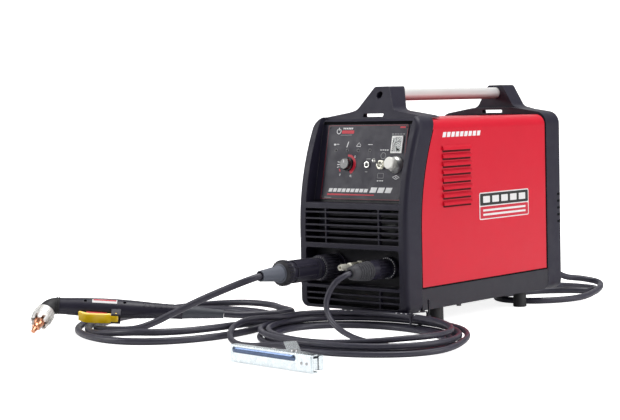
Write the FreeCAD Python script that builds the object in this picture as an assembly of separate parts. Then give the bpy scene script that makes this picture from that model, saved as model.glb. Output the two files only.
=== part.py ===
import FreeCAD, Part
import math
import os

V = FreeCAD.Vector

# Row frame: +Z up, +Y from the front of the unit to its back, +X to the right hand side
# seen from behind the front panel's viewer. Origin on the floor under the middle of the feet.

# ---- driving dimensions of the case (mm)
CASE_W = 226.0
CASE_FRONT = -221.0
CASE_REAR = 227.0
BASE_Z = 27.0
PAN_TOP = 61.0
COVER_TOP = 331.0
CORNER_R = 18.0
SHOULDER_Z = 333.0
HUMP_Z = 344.0
HUMP_HALF = 42.0
BOSS_TOP = 384.0
BOSS_HALF = 15.0
BEZEL_DEPTH = 38.0
BEZEL_WALL = 4.5
EDGE_R = 10.0
LEAN_START = 150.0
LEAN_R = 393.0
RECESS_HALF = 97.0

# ---- front panel
PANEL_FOOT_Y = -197.0
PANEL_FOOT_Z = 206.0
PANEL_SLOPE = 26.0 / 116.0
PANEL_LEAN = math.degrees(math.atan(PANEL_SLOPE))
PANEL_T = 1.2
CONTROL_Z = 258.0
DIAL_X = -33.0
BUTTON_X = 8.0
TOGGLE_X = 37.0
REGULATOR_X = 67.0
GAUGE_X = 65.5
GAUGE_Z = 290.0
LED_Z = 281.0
LED_X = [-61.5, -38.0, -14.4, 9.8]

# ---- sockets in the lower recess
RECESS_FLOOR = -193.0
TORCH_X = -55.0
TORCH_Z = 92.0
NIPPLE_X = 0.0
NIPPLE_Z = 96.0
WORK_X = 58.0
WORK_Z = 94.0

# ---- handle tube
TUBE_Z = 370.0
TUBE_R = 10.0
TUBE_FRONT = -113.0
TUBE_REAR = 203.0

# ---- feet and fasteners
FOOT_X = 93.0
FOOT_Y = 120.0
FOOT_R = 11.5
FOOT_HOLE_R = 3.3

# ---- cables
TORCH_CABLE_R = 5.5
WORK_CABLE_R = 4.4
MAINS_CABLE_R = 5.5

# ---- torch lying on its coil: middle of the elbow, end of the sleeve, tip of the nozzle
ELBOW = V(-369.0, -540.0, 44.0)
SLEEVE_END = V(-169.0, -345.0, 21.0)
NOZZLE_TIP = V(-347.0, -595.0, 9.0)

# ---- work clamp lying on its side
CLAMP_PIVOT = V(212.0, -600.0, 0.0)
CLAMP_HEADING = -5.8
CLAMP_SPLAY = 39.0


def box(x0, x1, y0, y1, z0, z1):
    return Part.makeBox(x1 - x0, y1 - y0, z1 - z0, V(x0, y0, z0))


def rod(base, direction, radius, length):
    return Part.makeCylinder(radius, length, V(*base), V(*direction))


def ring(base, direction, outer, inner, length):
    return rod(base, direction, outer, length).cut(rod(base, direction, inner, length))


def lathe(profile, base=(0, 0, 0), direction=(0, -1, 0)):
    """Turn a closed outline of (distance along the axis, radius) about the axis."""
    points = [V(radius, 0, along) for along, radius in profile]
    points.append(points[0])
    solid = Part.Face(Part.makePolygon(points)).revolve(V(0, 0, 0), V(0, 0, 1), 360)
    solid.Placement = FreeCAD.Placement(V(*base), FreeCAD.Rotation(V(0, 0, 1), V(*direction)))
    return solid


def outline(corners, place):
    """Closed face through (u, v, radius) corners, each corner rounded by its radius."""
    count = len(corners)
    starts = []
    for i in range(count):
        corner = V(corners[i][0], corners[i][1], 0)
        before = V(corners[i - 1][0], corners[i - 1][1], 0)
        after = V(corners[(i + 1) % count][0], corners[(i + 1) % count][1], 0)
        radius = corners[i][2]
        to_before = (before - corner).normalize()
        to_after = (after - corner).normalize()
        if radius == 0:
            starts.append((corner, None, corner))
            continue
        half = to_before.getAngle(to_after) / 2
        reach = radius / math.tan(half)
        middle = (to_before + to_after).normalize()
        centre = corner + middle * (radius / math.sin(half))
        starts.append((corner + to_before * reach, centre - middle * radius, corner + to_after * reach))
    edges = []
    for i in range(count):
        first, bulge, last = starts[i]
        following = starts[(i + 1) % count][0]
        if bulge is not None:
            edges.append(Part.Arc(place(first), place(bulge), place(last)).toShape())
        if (following - last).Length > 1e-6:
            edges.append(Part.makeLine(place(last), place(following)))
    return Part.Face(Part.Wire(edges))


def prism(corners, plane, start, end):
    """Extrude a rounded outline: plane 'xz' runs along Y, 'yz' along X and 'xy' along Z."""
    if plane == "xz":
        face = outline(corners, lambda p: V(p.x, start, p.y))
        return face.extrude(V(0, end - start, 0))
    if plane == "yz":
        face = outline(corners, lambda p: V(start, p.x, p.y))
        return face.extrude(V(end - start, 0, 0))
    face = outline(corners, lambda p: V(p.x, p.y, start))
    return face.extrude(V(0, 0, end - start))


def sweep(points, radius):
    """Round cable through the points, built from short ruled lengths.

    A loft begun from the wrong end can twist at a section, which costs it volume, so the fuller one is kept.
    """
    curve = Part.BSplineCurve()
    curve.interpolate(points)
    count = int(curve.toShape().Length / (2.5 * radius))
    sections = []
    for centre in curve.discretize(count):
        heading = curve.tangent(curve.parameter(centre))[0]
        centre.z = max(centre.z, radius + 0.1)
        side = heading.cross(V(0, 0, 1)).normalize()
        circle = Part.makeCircle(radius)
        circle.Placement = FreeCAD.Placement(centre, FreeCAD.Rotation(side, heading.cross(side), heading, "ZXY"))
        sections.append(Part.Wire([circle]))
    lofts = [Part.makeLoft(order, True, True) for order in (sections, sections[::-1])]
    return max(lofts, key=lambda loft: loft.Volume)


def fuse_all(shapes):
    result = shapes[0]
    for shape in shapes[1:]:
        result = result.fuse(shape)
    return result.removeSplitter()


def cut_all(shape, cutters):
    for cutter in cutters:
        shape = shape.cut(cutter)
    return shape


def polar(shapes_of_angle, count):
    return [shapes_of_angle(i * 360.0 / count) for i in range(count)]


def turned(shape, centre, axis, angle):
    copy = shape.copy()
    copy.rotate(V(*centre), V(*axis), angle)
    return copy


def lean(z):
    """How far the curved front leans back at height z."""
    rise = max(0.0, z - LEAN_START)
    return LEAN_R - math.sqrt(LEAN_R ** 2 - rise ** 2)


def panel_y(z):
    return PANEL_FOOT_Y + (z - PANEL_FOOT_Z) * PANEL_SLOPE


def brow_y(z):
    """Front face of the brow and handle boss above the panel."""
    return -155.0 + (z - 342.0) * math.tan(math.radians(28.0))


def boss_back_y(z):
    return -120.0 + (z - 343.0) * 0.68


def on_panel(shape, x, z):
    """Place a shape drawn with outwards -Y and up +Z on the leaning panel."""
    shape.Placement = FreeCAD.Placement(V(x, panel_y(z), z), FreeCAD.Rotation(V(1, 0, 0), -PANEL_LEAN)) \
        * shape.Placement
    return shape


# ---------------------------------------------------------------- case mouldings

def shell_corners(inset):
    half = CASE_W / 2 - inset
    return [(-half, 24.0 + inset, 14.0 - inset), (half, 24.0 + inset, 14.0 - inset),
            (half, SHOULDER_Z - inset, 22.0 - inset), (HUMP_HALF, HUMP_Z - inset, 30.0),
            (-HUMP_HALF, HUMP_Z - inset, 30.0), (-half, SHOULDER_Z - inset, 22.0 - inset)]


def lean_profile(front, back, z_low, z_high):
    """Side profile between the curved front and the parallel curve behind it."""
    z_mid = (LEAN_START + z_high) / 2
    points = {}
    for name, y in (("front", front), ("back", back)):
        points[name] = (Part.makeLine(V(0, y, z_low), V(0, y, LEAN_START)),
                        Part.Arc(V(0, y, LEAN_START), V(0, y + lean(z_mid), z_mid),
                                 V(0, y + lean(z_high), z_high)).toShape())
    bottom = Part.makeLine(V(0, front, z_low), V(0, back, z_low))
    top = Part.makeLine(V(0, front + lean(z_high), z_high), V(0, back + lean(z_high), z_high))
    return Part.Face(Part.Wire(Part.__sortEdges__([*points["front"], *points["back"], bottom, top])))


def lean_slab(front, back, z_low, z_high, half):
    face = lean_profile(front, back, z_low, z_high)
    face.translate(V(-half, 0, 0))
    return face.extrude(V(2 * half, 0, 0))


def boss_corners():
    return [(-BOSS_HALF, BOSS_TOP, 6.0), (-38.0, 346.0, 14.0), (-66.0, 339.0, 0.0), (-66.0, 333.0, 0.0),
            (66.0, 333.0, 0.0), (66.0, 339.0, 0.0), (38.0, 346.0, 14.0), (BOSS_HALF, BOSS_TOP, 6.0)]


def strap_slot(y0, y1, flare):
    """Slot for a carrying strap; from the flare backwards its mouth widens inside the moulding."""
    slot = prism([(-21.0, 334.5, 1.5), (21.0, 334.5, 1.5), (21.0, 340.0, 1.5), (-21.0, 340.0, 1.5)],
                 "xz", y0, y1)
    mouth = prism([(-21.0, flare, 0), (21.0, flare, 0), (46.0, flare + 28.0, 0), (46.0, y1, 0), (-46.0, y1, 0),
                   (-46.0, flare + 28.0, 0)], "xy", 334.5, 340.0)
    return slot.fuse(mouth)


def slat_heights():
    return [140.6, 150.9, 161.1, 171.4, 181.9]


def front_grille(z0, z1, heights):
    """Slats and ribs across a window in the front face."""
    pieces = []
    for z in heights:
        y = CASE_FRONT + 0.6 + lean(z)
        pieces.append(box(-RECESS_HALF - 2, RECESS_HALF + 2, y, y + 8, z - 1.3, z + 1.3))
    for x in (-55.0, 55.0):
        pieces.append(box(x - 1.3, x + 1.3, CASE_FRONT + 2.4, CASE_FRONT + 8.6, z0, z1))
    return pieces


def front_bezel():
    back = CASE_FRONT + BEZEL_DEPTH
    outer = lean_slab(CASE_FRONT, back, 10.0, 345.0, CASE_W / 2).common(
        prism(shell_corners(0.0), "xz", -300.0, 0.0))
    front_edges = []
    for edge in outer.Edges:
        middle = edge.valueAt((edge.FirstParameter + edge.LastParameter) / 2)
        on_front = abs(middle.y - CASE_FRONT - lean(middle.z)) < 0.05
        inside = abs(middle.x) < CASE_W / 2 - 14 and 30 < middle.z < 325
        if on_front and not inside:
            front_edges.append(edge)
    outer = outer.makeFillet(EDGE_R - 2.0, front_edges)
    wall = BEZEL_WALL
    hollow = lean_slab(CASE_FRONT + wall, back + 60, 10.0, 340.0, CASE_W / 2).common(
        prism(shell_corners(wall), "xz", -300.0, 0.0))
    panel_back = wall - 1.0
    keep = prism([(-300.0, 193.0, 0), (panel_y(193.0) + panel_back, 193.0, 0),
                  (panel_y(324.0) + panel_back, 324.0, 0), (brow_y(331.0) + wall, 331.0, 0),
                  (brow_y(400.0) + wall, 400.0, 0), (-300.0, 400.0, 0)],
                 "yz", -RECESS_HALF - 3, RECESS_HALF + 3)
    socket_tray = box(-RECESS_HALF - 3, RECESS_HALF + 3, -300.0, RECESS_FLOOR + 3.5, 60.0, 127.0)
    body = outer.cut(hollow.cut(keep).cut(socket_tray))
    hump = prism(shell_corners(0.0), "xz", brow_y(333.0), -116.0).common(
        box(-104.0, 104.0, -200.0, -116.0, COVER_TOP + 0.6, 360.0))
    boss = prism(boss_corners(), "xz", -200.0, -60.0).common(
        prism([(brow_y(330.0), 330.0, 0), (brow_y(390.0), 390.0, 0), (boss_back_y(390.0), 390.0, 0),
               (boss_back_y(330.0), 330.0, 0)], "yz", -70.0, 70.0))
    body = body.fuse(hump).fuse(boss)
    seat = PANEL_T + 0.05
    recess = prism([(-300.0, 197.0, 0), (panel_y(197.0) + seat, 197.0, 0), (panel_y(326.0) + seat, 326.0, 0),
                    (brow_y(331.0), 331.0, 0), (brow_y(400.0), 400.0, 0), (-300.0, 400.0, 0)],
                   "yz", -RECESS_HALF, RECESS_HALF)
    body = body.cut(recess)
    windows = [box(-RECESS_HALF, RECESS_HALF, -240.0, CASE_FRONT + 9.0, 132.0, 188.0),
               prism([(-RECESS_HALF, 30.0, 8.0), (RECESS_HALF, 30.0, 8.0), (RECESS_HALF, 58.5, 0),
                      (-RECESS_HALF, 58.5, 0)], "xz", -240.0, CASE_FRONT + 9.0),
               prism([(-RECESS_HALF, 63.0, 5.0), (RECESS_HALF, 63.0, 5.0), (RECESS_HALF, 124.0, 5.0),
                      (-RECESS_HALF, 124.0, 5.0)], "xz", -240.0, RECESS_FLOOR)]
    body = cut_all(body, windows)
    body = fuse_all([body] + front_grille(132.0, 188.0, slat_heights())
                    + front_grille(30.0, 58.5, [39.7, 49.4]))
    holes = [rod((TORCH_X, -200, TORCH_Z), (0, 1, 0), 14.2, 20),
             rod((NIPPLE_X, -200, NIPPLE_Z), (0, 1, 0), 5.2, 20),
             rod((WORK_X, -200, WORK_Z), (0, 1, 0), 13.2, 20),
             strap_slot(-200.0, -60.0, -150.0),
             rod((0, -170, TUBE_Z), (0, 1, 0), 6.0, 48),
             rod((0, -170, TUBE_Z), (0, 1, 0), 3.3, 90),
             rod((0, TUBE_FRONT - 0.1, TUBE_Z), (0, 1, 0), TUBE_R + 0.05, 60)]
    holes += panel_holes()
    return cut_all(body, holes)


def panel_holes():
    """Openings the controls need in the panel and in the wall behind it."""
    holes = [on_panel(rod((0, -10, 0), (0, 1, 0), 3.6, 20), DIAL_X, CONTROL_Z),
             on_panel(rod((0, -10, 0), (0, 1, 0), 5.0, 20), BUTTON_X, CONTROL_Z),
             on_panel(rod((0, -10, 0), (0, 1, 0), 6.0, 20), TOGGLE_X, CONTROL_Z),
             on_panel(rod((0, -10, 0), (0, 1, 0), 9.1, 20), REGULATOR_X, CONTROL_Z),
             on_panel(box(-9.7, 9.7, -10, 10, -12.7, 12.7), GAUGE_X, GAUGE_Z)]
    for x in LED_X:
        holes.append(on_panel(rod((0, -10, 0), (0, 1, 0), 1.7, 20), x, LED_Z))
    return holes


def control_panel():
    low = 201.0
    high = 323.0
    length = (high - low) / math.cos(math.radians(PANEL_LEAN))
    plate = prism([(-84.0, 0.0, 3.0), (84.0, 0.0, 3.0), (84.0, length, 3.0), (-84.0, length, 3.0)],
                  "xz", 0.0, PANEL_T)
    return cut_all(on_panel(plate, 0.0, low), panel_holes())


def rear_bezel():
    front = CASE_REAR - 47.0
    outer = prism(shell_corners(0.0), "xz", front, CASE_REAR)
    rear_edges = [edge for edge in outer.Edges
                  if abs(edge.valueAt((edge.FirstParameter + edge.LastParameter) / 2).y - CASE_REAR) < 0.01]
    outer = outer.makeFillet(EDGE_R - 2.0, rear_edges)
    body = outer.cut(prism(shell_corners(BEZEL_WALL), "xz", front - 1, CASE_REAR - BEZEL_WALL))
    hump = prism(shell_corners(0.0), "xz", front, CASE_REAR - 8.0).common(
        box(-104.0, 104.0, front, CASE_REAR, COVER_TOP + 0.6, 360.0))
    boss = prism(boss_corners(), "xz", front + 10.0, CASE_REAR - 1.0)
    body = body.fuse(hump).fuse(boss)
    cutters = [strap_slot(100.0, 300.0, 188.0),
               rod((0, front, TUBE_Z), (0, 1, 0), TUBE_R + 0.05, TUBE_REAR - front + 0.1),
               rod((0, front, TUBE_Z), (0, 1, 0), 3.3, 60),
               rod((0, TUBE_REAR + 6, TUBE_Z), (0, 1, 0), 6.0, 40),
               rod((70.0, 200, 80.0), (0, 1, 0), 10.2, 40),
               rod((-62.0, 200, 82.0), (0, 1, 0), 9.0, 40)]
    for row in range(11):
        z = 140.0 + row * 12.0
        cutters.append(box(-70.0, 70.0, 200.0, 240.0, z, z + 7.0))
    for x, z in rear_screw_places():
        cutters.append(rod((x, 200, z), (0, 1, 0), 2.2, 40))
    return fuse_all([cut_all(body, cutters), box(-2.0, 2.0, CASE_REAR - 7, CASE_REAR - 2, 138.0, 270.0)])


def rear_screw_places():
    return [(-96.0, 48.0), (96.0, 48.0), (-96.0, 308.0), (96.0, 308.0)]


def base_screw_places():
    return [(-105.0, -173.0), (105.0, -173.0), (-105.0, -75.0), (105.0, -75.0)]


def base_pan():
    y0 = CASE_FRONT + BEZEL_DEPTH + 0.5
    y1 = CASE_REAR - 47.5
    half = CASE_W / 2 - 0.3
    outer = prism([(y0, BASE_Z, 2.0), (y1, BASE_Z, 12.0), (y1, PAN_TOP, 0), (y0, PAN_TOP, 0)], "yz", -half, half)
    inner = prism([(y0 + 2, BASE_Z + 2, 0), (y1 - 2, BASE_Z + 2, 10.0), (y1 - 2, 80.0, 0), (y0 + 2, 80.0, 0)],
                  "yz", -half + 2, half - 2)
    pan = outer.cut(inner)
    for side in (-1, 1):
        lip = box(half - 3.6, half - 2.0, y0 + 12, y1 - 12, BASE_Z + 12, PAN_TOP + 12)
        pan = pan.fuse(lip if side > 0 else lip.mirror(V(0, 0, 0), V(1, 0, 0)))
    holes = [rod((x, y, 20), (0, 0, 1), 2.2, 12) for x, y in base_screw_places()]
    holes += [rod((x, y, 20), (0, 0, 1), 2.2, 12) for x in (-FOOT_X, FOOT_X) for y in (-FOOT_Y, FOOT_Y)]
    for row in range(7):
        holes.append(box(-40.0, 40.0, -60.0 + row * 14.0, -54.0 + row * 14.0, 20.0, 30.0))
    return cut_all(pan, holes).removeSplitter()


def cover():
    half = CASE_W / 2 - 0.3
    corners = [(-half, PAN_TOP + 0.6, 0), (half, PAN_TOP + 0.6, 0), (half, COVER_TOP, CORNER_R),
               (-half, COVER_TOP, CORNER_R)]
    inner = [(-half + 1.5, 0.0, 0), (half - 1.5, 0.0, 0), (half - 1.5, COVER_TOP - 1.5, CORNER_R - 1.5),
             (-half + 1.5, COVER_TOP - 1.5, CORNER_R - 1.5)]
    sheet = prism(corners, "xz", -200.0, CASE_REAR - 47.5).cut(prism(inner, "xz", -210.0, 200.0))
    sheet = sheet.cut(lean_slab(-300.0, CASE_FRONT + BEZEL_DEPTH + 0.5, 0.0, 345.0, 150.0))
    hoods = []
    for row in range(8):
        z = 190.0 + row * 12.7
        for side in (-1, 1):
            x = side * half
            slot = box(min(x, x - side * 2), max(x, x - side * 2), -122.0, -47.0, z + 0.6, z + 6.0)
            sheet = sheet.cut(slot)
            hood = louvre(z)
            if side < 0:
                hood = hood.mirror(V(0, 0, 0), V(1, 0, 0))
            hoods.append(hood)
    return fuse_all([sheet] + hoods)


def louvre(z):
    """Pressed hood over one slot, open at its lower edge."""
    half = CASE_W / 2 - 0.3
    face = half - 1.5
    outer = prism([(face, z, 0), (half + 3.6, z, 0), (half + 3.2, z + 4.0, 2.0), (face, z + 9.5, 0)],
                  "xz", -124.0, -45.0)
    inner = prism([(face - 2, z - 1, 0), (half + 2.4, z - 1, 0), (half + 2.0, z + 3.4, 1.5), (face - 2, z + 7.6, 0)],
                  "xz", -122.6, -46.4)
    return outer.cut(inner)


def handle_tube():
    return ring((0, TUBE_FRONT, TUBE_Z), (0, 1, 0), TUBE_R, 3.0, TUBE_REAR - TUBE_FRONT)


def handle_screws():
    front = fuse_all([rod((0, -128.0, TUBE_Z), (0, 1, 0), 5.2, 6.0), rod((0, -122.0, TUBE_Z), (0, 1, 0), 2.95, 32)])
    rear = fuse_all([rod((0, 209.0, TUBE_Z), (0, 1, 0), 5.2, 6.0), rod((0, 180.0, TUBE_Z), (0, 1, 0), 2.95, 29)])
    sockets = [rod((0, -130.0, TUBE_Z), (0, 1, 0), 2.5, 5), rod((0, 212.0, TUBE_Z), (0, 1, 0), 2.5, 5)]
    return Part.Compound([front.cut(sockets[0]), rear.cut(sockets[1])])


def case_screws():
    screws = []
    for x, y in base_screw_places():
        screws.append(rod((x, y, 23.0), (0, 0, 1), 4.0, 3.9).fuse(rod((x, y, 26.0), (0, 0, 1), 2.0, 9)))
    for x, z in rear_screw_places():
        screws.append(rod((x, CASE_REAR + 0.05, z), (0, 1, 0), 4.0, 2.0).fuse(
            rod((x, CASE_REAR - 10, z), (0, 1, 0), 2.0, 10.5)))
    return Part.Compound(screws)


def foot_places():
    return [(x, y) for x in (-FOOT_X, FOOT_X) for y in (-FOOT_Y, FOOT_Y)]


def feet():
    solids = []
    for x, y in foot_places():
        foot = lathe([(0, FOOT_HOLE_R), (0, FOOT_R - 1.0), (1.0, FOOT_R), (26.9, FOOT_R - 0.5), (26.9, 2.1),
                      (16.0, 2.1), (16.0, 0.01), (12.0, 0.01), (12.0, FOOT_HOLE_R)], (x, y, 0), (0, 0, 1))
        solids.append(foot)
    return Part.Compound(solids)


def foot_screws():
    solids = []
    for x, y in foot_places():
        solids.append(rod((x, y, 29.05), (0, 0, 1), 4.0, 2.5).fuse(rod((x, y, 17.0), (0, 0, 1), 2.0, 13)))
    return Part.Compound(solids)


# ---------------------------------------------------------------- front controls

def potentiometer():
    body = lathe([(-20, 0.01), (-20, 8.0), (-7, 8.0), (-7, 3.5), (-0.2, 3.5), (-0.2, 3.05), (-18, 3.05), (-18, 0.01)])
    return on_panel(body, DIAL_X, CONTROL_Z)


def current_knob():
    knob = lathe([(-16, 0.01), (-16, 3.0), (0.8, 3.0), (0.8, 10.8), (2.6, 10.8), (3.4, 9.8), (9.2, 9.2),
                  (10.0, 8.4), (10.0, 0.01)])
    grips = polar(lambda a: turned(rod((0, -4.2, 10.4), (0, -1, 0), 1.3, 12), (0, 0, 0), (0, 1, 0), a + 15), 12)
    knob = cut_all(knob, grips)
    knob = knob.cut(box(-0.6, 0.6, -16, -14.2, 1.0, 9.0))
    return on_panel(turned(knob, (0, 0, 0), (0, 1, 0), -20), DIAL_X, CONTROL_Z)


def button_ring():
    body = lathe([(-8, 3.7), (-8, 4.9), (0.05, 4.9), (0.05, 5.9), (2.0, 5.6), (2.6, 4.6), (2.6, 3.7)])
    return on_panel(body, BUTTON_X, CONTROL_Z)


def push_button():
    return on_panel(lathe([(-7, 0.01), (-7, 3.6), (3.2, 3.6), (4.0, 2.8), (4.2, 0.01)]), BUTTON_X, CONTROL_Z)


def toggle_body():
    barrel = lathe([(-12, 4.6), (-12, 5.9), (5.2, 5.9), (5.2, 4.6)])
    nut = ring((0, 0, 0), (0, -1, 0), 9.0, 5.85, 2.6).common(
        prism([(7.0 * math.cos(math.radians(60 * i)) * 1.1547, 7.0 * math.sin(math.radians(60 * i)) * 1.1547, 0)
               for i in range(6)], "xz", -3.0, -0.05))
    case = box(-6.5, 6.5, 12.0, 28.0, -9.0, 9.0)
    return on_panel(fuse_all([barrel, nut, case]), TOGGLE_X, CONTROL_Z)


def toggle_lever():
    lever = lathe([(-1.5, 0.01), (-1.5, 2.2), (0.5, 3.0), (3.0, 3.0), (5.0, 1.7), (17.0, 2.1), (18.5, 2.9),
                   (20.5, 3.3), (22.5, 2.6), (23.3, 0.01)])
    lever = lever.fuse(rod((-4.0, -2.0, 0.0), (1, 0, 0), 1.8, 8.0))
    return on_panel(turned(lever, (0, -2, 0), (1, 0, 0), -12.0), TOGGLE_X, CONTROL_Z)


def gauge_case():
    case = fuse_all([box(-11, 11, -2.5, -0.05, -14, 14), box(-9.5, 9.5, -0.1, 20, -12.5, 12.5)])
    case = cut_all(case, [box(-8.7, 8.7, -3, 3.5, -11.7, 11.7), rod((0, 0, -7.5), (0, 1, 0), 0.9, 9)])
    return on_panel(case, GAUGE_X, GAUGE_Z)


def gauge_lens():
    return on_panel(box(-8.6, 8.6, -2.2, -1.2, -11.6, 11.6), GAUGE_X, GAUGE_Z)


def gauge_needle():
    needle = fuse_all([rod((0, 0.2, -7.5), (0, 1, 0), 0.8, 8), rod((0, 0.2, -7.5), (0, 1, 0), 1.8, 1.2),
                       box(-0.5, 0.5, 0.4, 1.0, -7.5, 4.8)])
    return on_panel(turned(needle, (0, 0, -7.5), (0, 1, 0), -40), GAUGE_X, GAUGE_Z)


def regulator_body():
    bell = lathe([(0.05, 9.2), (0.05, 14.0), (2.0, 14.0), (6.0, 12.6), (10.0, 10.4), (10.0, 5.05), (-16, 5.05),
                  (-16, 4.05), (-30, 4.05), (-30, 9.0), (0.05, 9.0)])
    body = lathe([(-48, 0.01), (-48, 16.0), (-30, 16.0), (-30, 4.05), (-44, 4.05), (-44, 0.01)])
    ports = rod((-34, 40, 0), (1, 0, 0), 5.0, 68).cut(rod((0, 0, 0), (0, 1, 0), 10.0, 60))
    return on_panel(fuse_all([bell, body, ports]), REGULATOR_X, CONTROL_Z)


def regulator_spindle():
    spindle = lathe([(-42, 0.01), (-42, 4.0), (15.0, 4.0), (15.0, 0.01)])
    return on_panel(spindle, REGULATOR_X, CONTROL_Z)


def regulator_knob():
    cap = lathe([(10.6, 4.05), (10.6, 10.0), (12.0, 10.4), (19.0, 9.8), (20.5, 8.6), (20.5, 0.01), (18.5, 0.01),
                 (18.5, 4.05)])
    flutes = polar(lambda a: turned(rod((0, -11, 10.6), (0, -1, 0), 0.9, 8), (0, 0, 0), (0, 1, 0), a), 16)
    return on_panel(cut_all(cap, flutes), REGULATOR_X, CONTROL_Z)


def status_leds():
    solids = [on_panel(lathe([(-5, 0.01), (-5, 1.6), (0.4, 1.6), (1.2, 1.0), (1.4, 0.01)]), x, LED_Z) for x in LED_X]
    return Part.Compound(solids)


# ---------------------------------------------------------------- sockets and plugs

def at_front(profile, x, z):
    """Turned piece whose profile distances are measured forwards from the recess floor."""
    return lathe(profile, (x, RECESS_FLOOR, z), (0, -1, 0))


def torch_socket():
    return at_front([(-28, 6.0), (-28, 14.0), (0.05, 14.0), (0.05, 23.0), (4.0, 23.0), (4.0, 15.0), (29.0, 15.0),
                     (29.0, 11.2), (2.0, 11.2), (2.0, 6.0)], TORCH_X, TORCH_Z)


def torch_plug():
    body = at_front([(6.0, 0.01), (6.0, 11.0), (29.5, 11.0), (29.5, 17.8), (43.0, 17.8), (43.0, 16.6), (50.0, 16.6),
                     (51.0, 17.6), (120.0, 16.8), (125.0, 15.5), (125.0, 6.0), (100.0, 6.0), (100.0, 0.01)],
                    TORCH_X, TORCH_Z)
    ribs = polar(lambda a: turned(box(TORCH_X - 1.6, TORCH_X + 1.6, -312.0, -262.0, TORCH_Z + 16.0, TORCH_Z + 18.6),
                                  (TORCH_X, 0, TORCH_Z), (0, 1, 0), a), 6)
    return fuse_all([body] + ribs)


def coupling_ring():
    body = at_front([(9.0, 18.0), (9.0, 20.0), (46.0, 20.0), (47.0, 19.4), (47.0, 16.9), (44.0, 16.9), (44.0, 18.0)],
                    TORCH_X, TORCH_Z)
    ribs = polar(lambda a: turned(box(TORCH_X - 1.1, TORCH_X + 1.1, -238.0, -203.0, TORCH_Z + 19.5, TORCH_Z + 21.2),
                                  (TORCH_X, 0, TORCH_Z), (0, 1, 0), a), 24)
    return fuse_all([body] + ribs)


def torch_boot():
    nut = at_front([(125.2, 6.0), (125.2, 18.5), (127.0, 20.0), (137.0, 20.0), (139.0, 18.0), (141.0, 13.0),
                    (141.0, 6.0)], TORCH_X, TORCH_Z)
    grooves = polar(lambda a: turned(rod((TORCH_X, -316.0, TORCH_Z + 20.6), (0, -1, 0), 1.6, 18),
                                     (TORCH_X, 0, TORCH_Z), (0, 1, 0), a), 12)
    boot = at_front([(140.0, 6.0), (140.0, 12.6), (150.0, 12.0), (185.0, 8.8), (185.0, 7.2)], TORCH_X, TORCH_Z)
    return fuse_all([cut_all(nut, grooves), boot])


def air_nipple():
    stem = at_front([(-18, 2.5), (-18, 5.0), (0.05, 5.0), (0.05, 8.0), (8.0, 8.0), (8.0, 5.6), (34.0, 5.6),
                     (36.0, 4.2), (42.0, 4.2), (43.0, 5.4), (51.0, 5.4), (57.0, 4.6), (57.0, 2.5)],
                    NIPPLE_X, NIPPLE_Z)
    hexagon = prism([(NIPPLE_X + 8.0 * math.cos(math.radians(60 * i)), NIPPLE_Z + 8.0 * math.sin(math.radians(60 * i)), 0)
                     for i in range(6)], "xz", -300.0, -150.0)
    return stem.common(hexagon)


def work_socket():
    return at_front([(-24, 7.9), (-24, 13.0), (0.05, 13.0), (0.05, 18.0), (8.0, 18.0), (10.0, 17.0), (10.0, 12.2),
                     (3.0, 12.2), (3.0, 7.9)], WORK_X, WORK_Z)


def work_plug():
    pin = at_front([(-10, 0.01), (-10, 7.7), (10.6, 7.7), (10.6, 0.01)], WORK_X, WORK_Z)
    corners = []
    for i in range(10):
        angle = math.radians(36 * i + 18)
        corners.append((WORK_X + 16.0 * math.cos(angle), WORK_Z + 16.0 * math.sin(angle), 1.5))
    body = prism(corners, "xz", -250.0, RECESS_FLOOR - 10.3).common(
        at_front([(10.3, 0.01), (10.3, 15.0), (16.0, 16.0), (44.0, 15.5), (57.0, 13.6), (57.0, 0.01)], WORK_X, WORK_Z))
    plug = fuse_all([pin, body])
    return plug.cut(rod((WORK_X, -260.0, WORK_Z), (0, 1, 0), 4.6, 20))


def work_boot():
    profile = [(57.1, 4.7), (57.1, 14.5)]
    for rib in range(6):
        start = 58.0 + rib * 5.0
        outer = 15.6 - rib * 0.5
        profile += [(start, outer), (start + 3.2, outer), (start + 3.8, outer - 1.2), (start + 4.6, outer - 1.2)]
    profile += [(90.0, 12.4), (99.0, 10.5), (102.0, 8.0), (102.0, 5.6)]
    return at_front(profile, WORK_X, WORK_Z)


# ---------------------------------------------------------------- inside the case

def socket_plate():
    plate = box(-95.0, 95.0, -188.0, -186.0, 46.0, 184.0)
    flange = box(-95.0, 95.0, -188.0, -183.0, 44.0, 46.0)
    holes = [rod((TORCH_X, -200, TORCH_Z), (0, 1, 0), 14.2, 20), rod((NIPPLE_X, -200, NIPPLE_Z), (0, 1, 0), 5.2, 20),
             rod((WORK_X, -200, WORK_Z), (0, 1, 0), 13.2, 20)]
    for z in slat_heights():
        holes.append(box(-80.0, 80.0, -190.0, -184.0, z - 3.5, z + 2.5))
    return cut_all(fuse_all([plate, flange]), holes)


FAN_Z = 205.0
FAN_Y = 160.0


def fan_frame():
    frame = prism([(-60, FAN_Z - 60, 5), (60, FAN_Z - 60, 5), (60, FAN_Z + 60, 5), (-60, FAN_Z + 60, 5)],
                  "xz", FAN_Y, FAN_Y + 25).cut(rod((0, FAN_Y - 1, FAN_Z), (0, 1, 0), 57, 30))
    spider = [turned(box(-3, 3, FAN_Y + 20, FAN_Y + 25, FAN_Z, FAN_Z + 58), (0, 0, FAN_Z), (0, 1, 0), a)
              for a in (45, 135, 225, 315)]
    motor = rod((0, FAN_Y + 20, FAN_Z), (0, 1, 0), 20, 5).fuse(rod((0, FAN_Y + 8, FAN_Z), (0, 1, 0), 12, 14))
    bracket = box(-58, 58, FAN_Y, FAN_Y + 3, BASE_Z + 2.1, FAN_Z - 58)
    frame = fuse_all([frame, motor, bracket] + spider)
    return frame.cut(rod((0, FAN_Y + 2, FAN_Z), (0, 1, 0), 2.05, 14))


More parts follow.
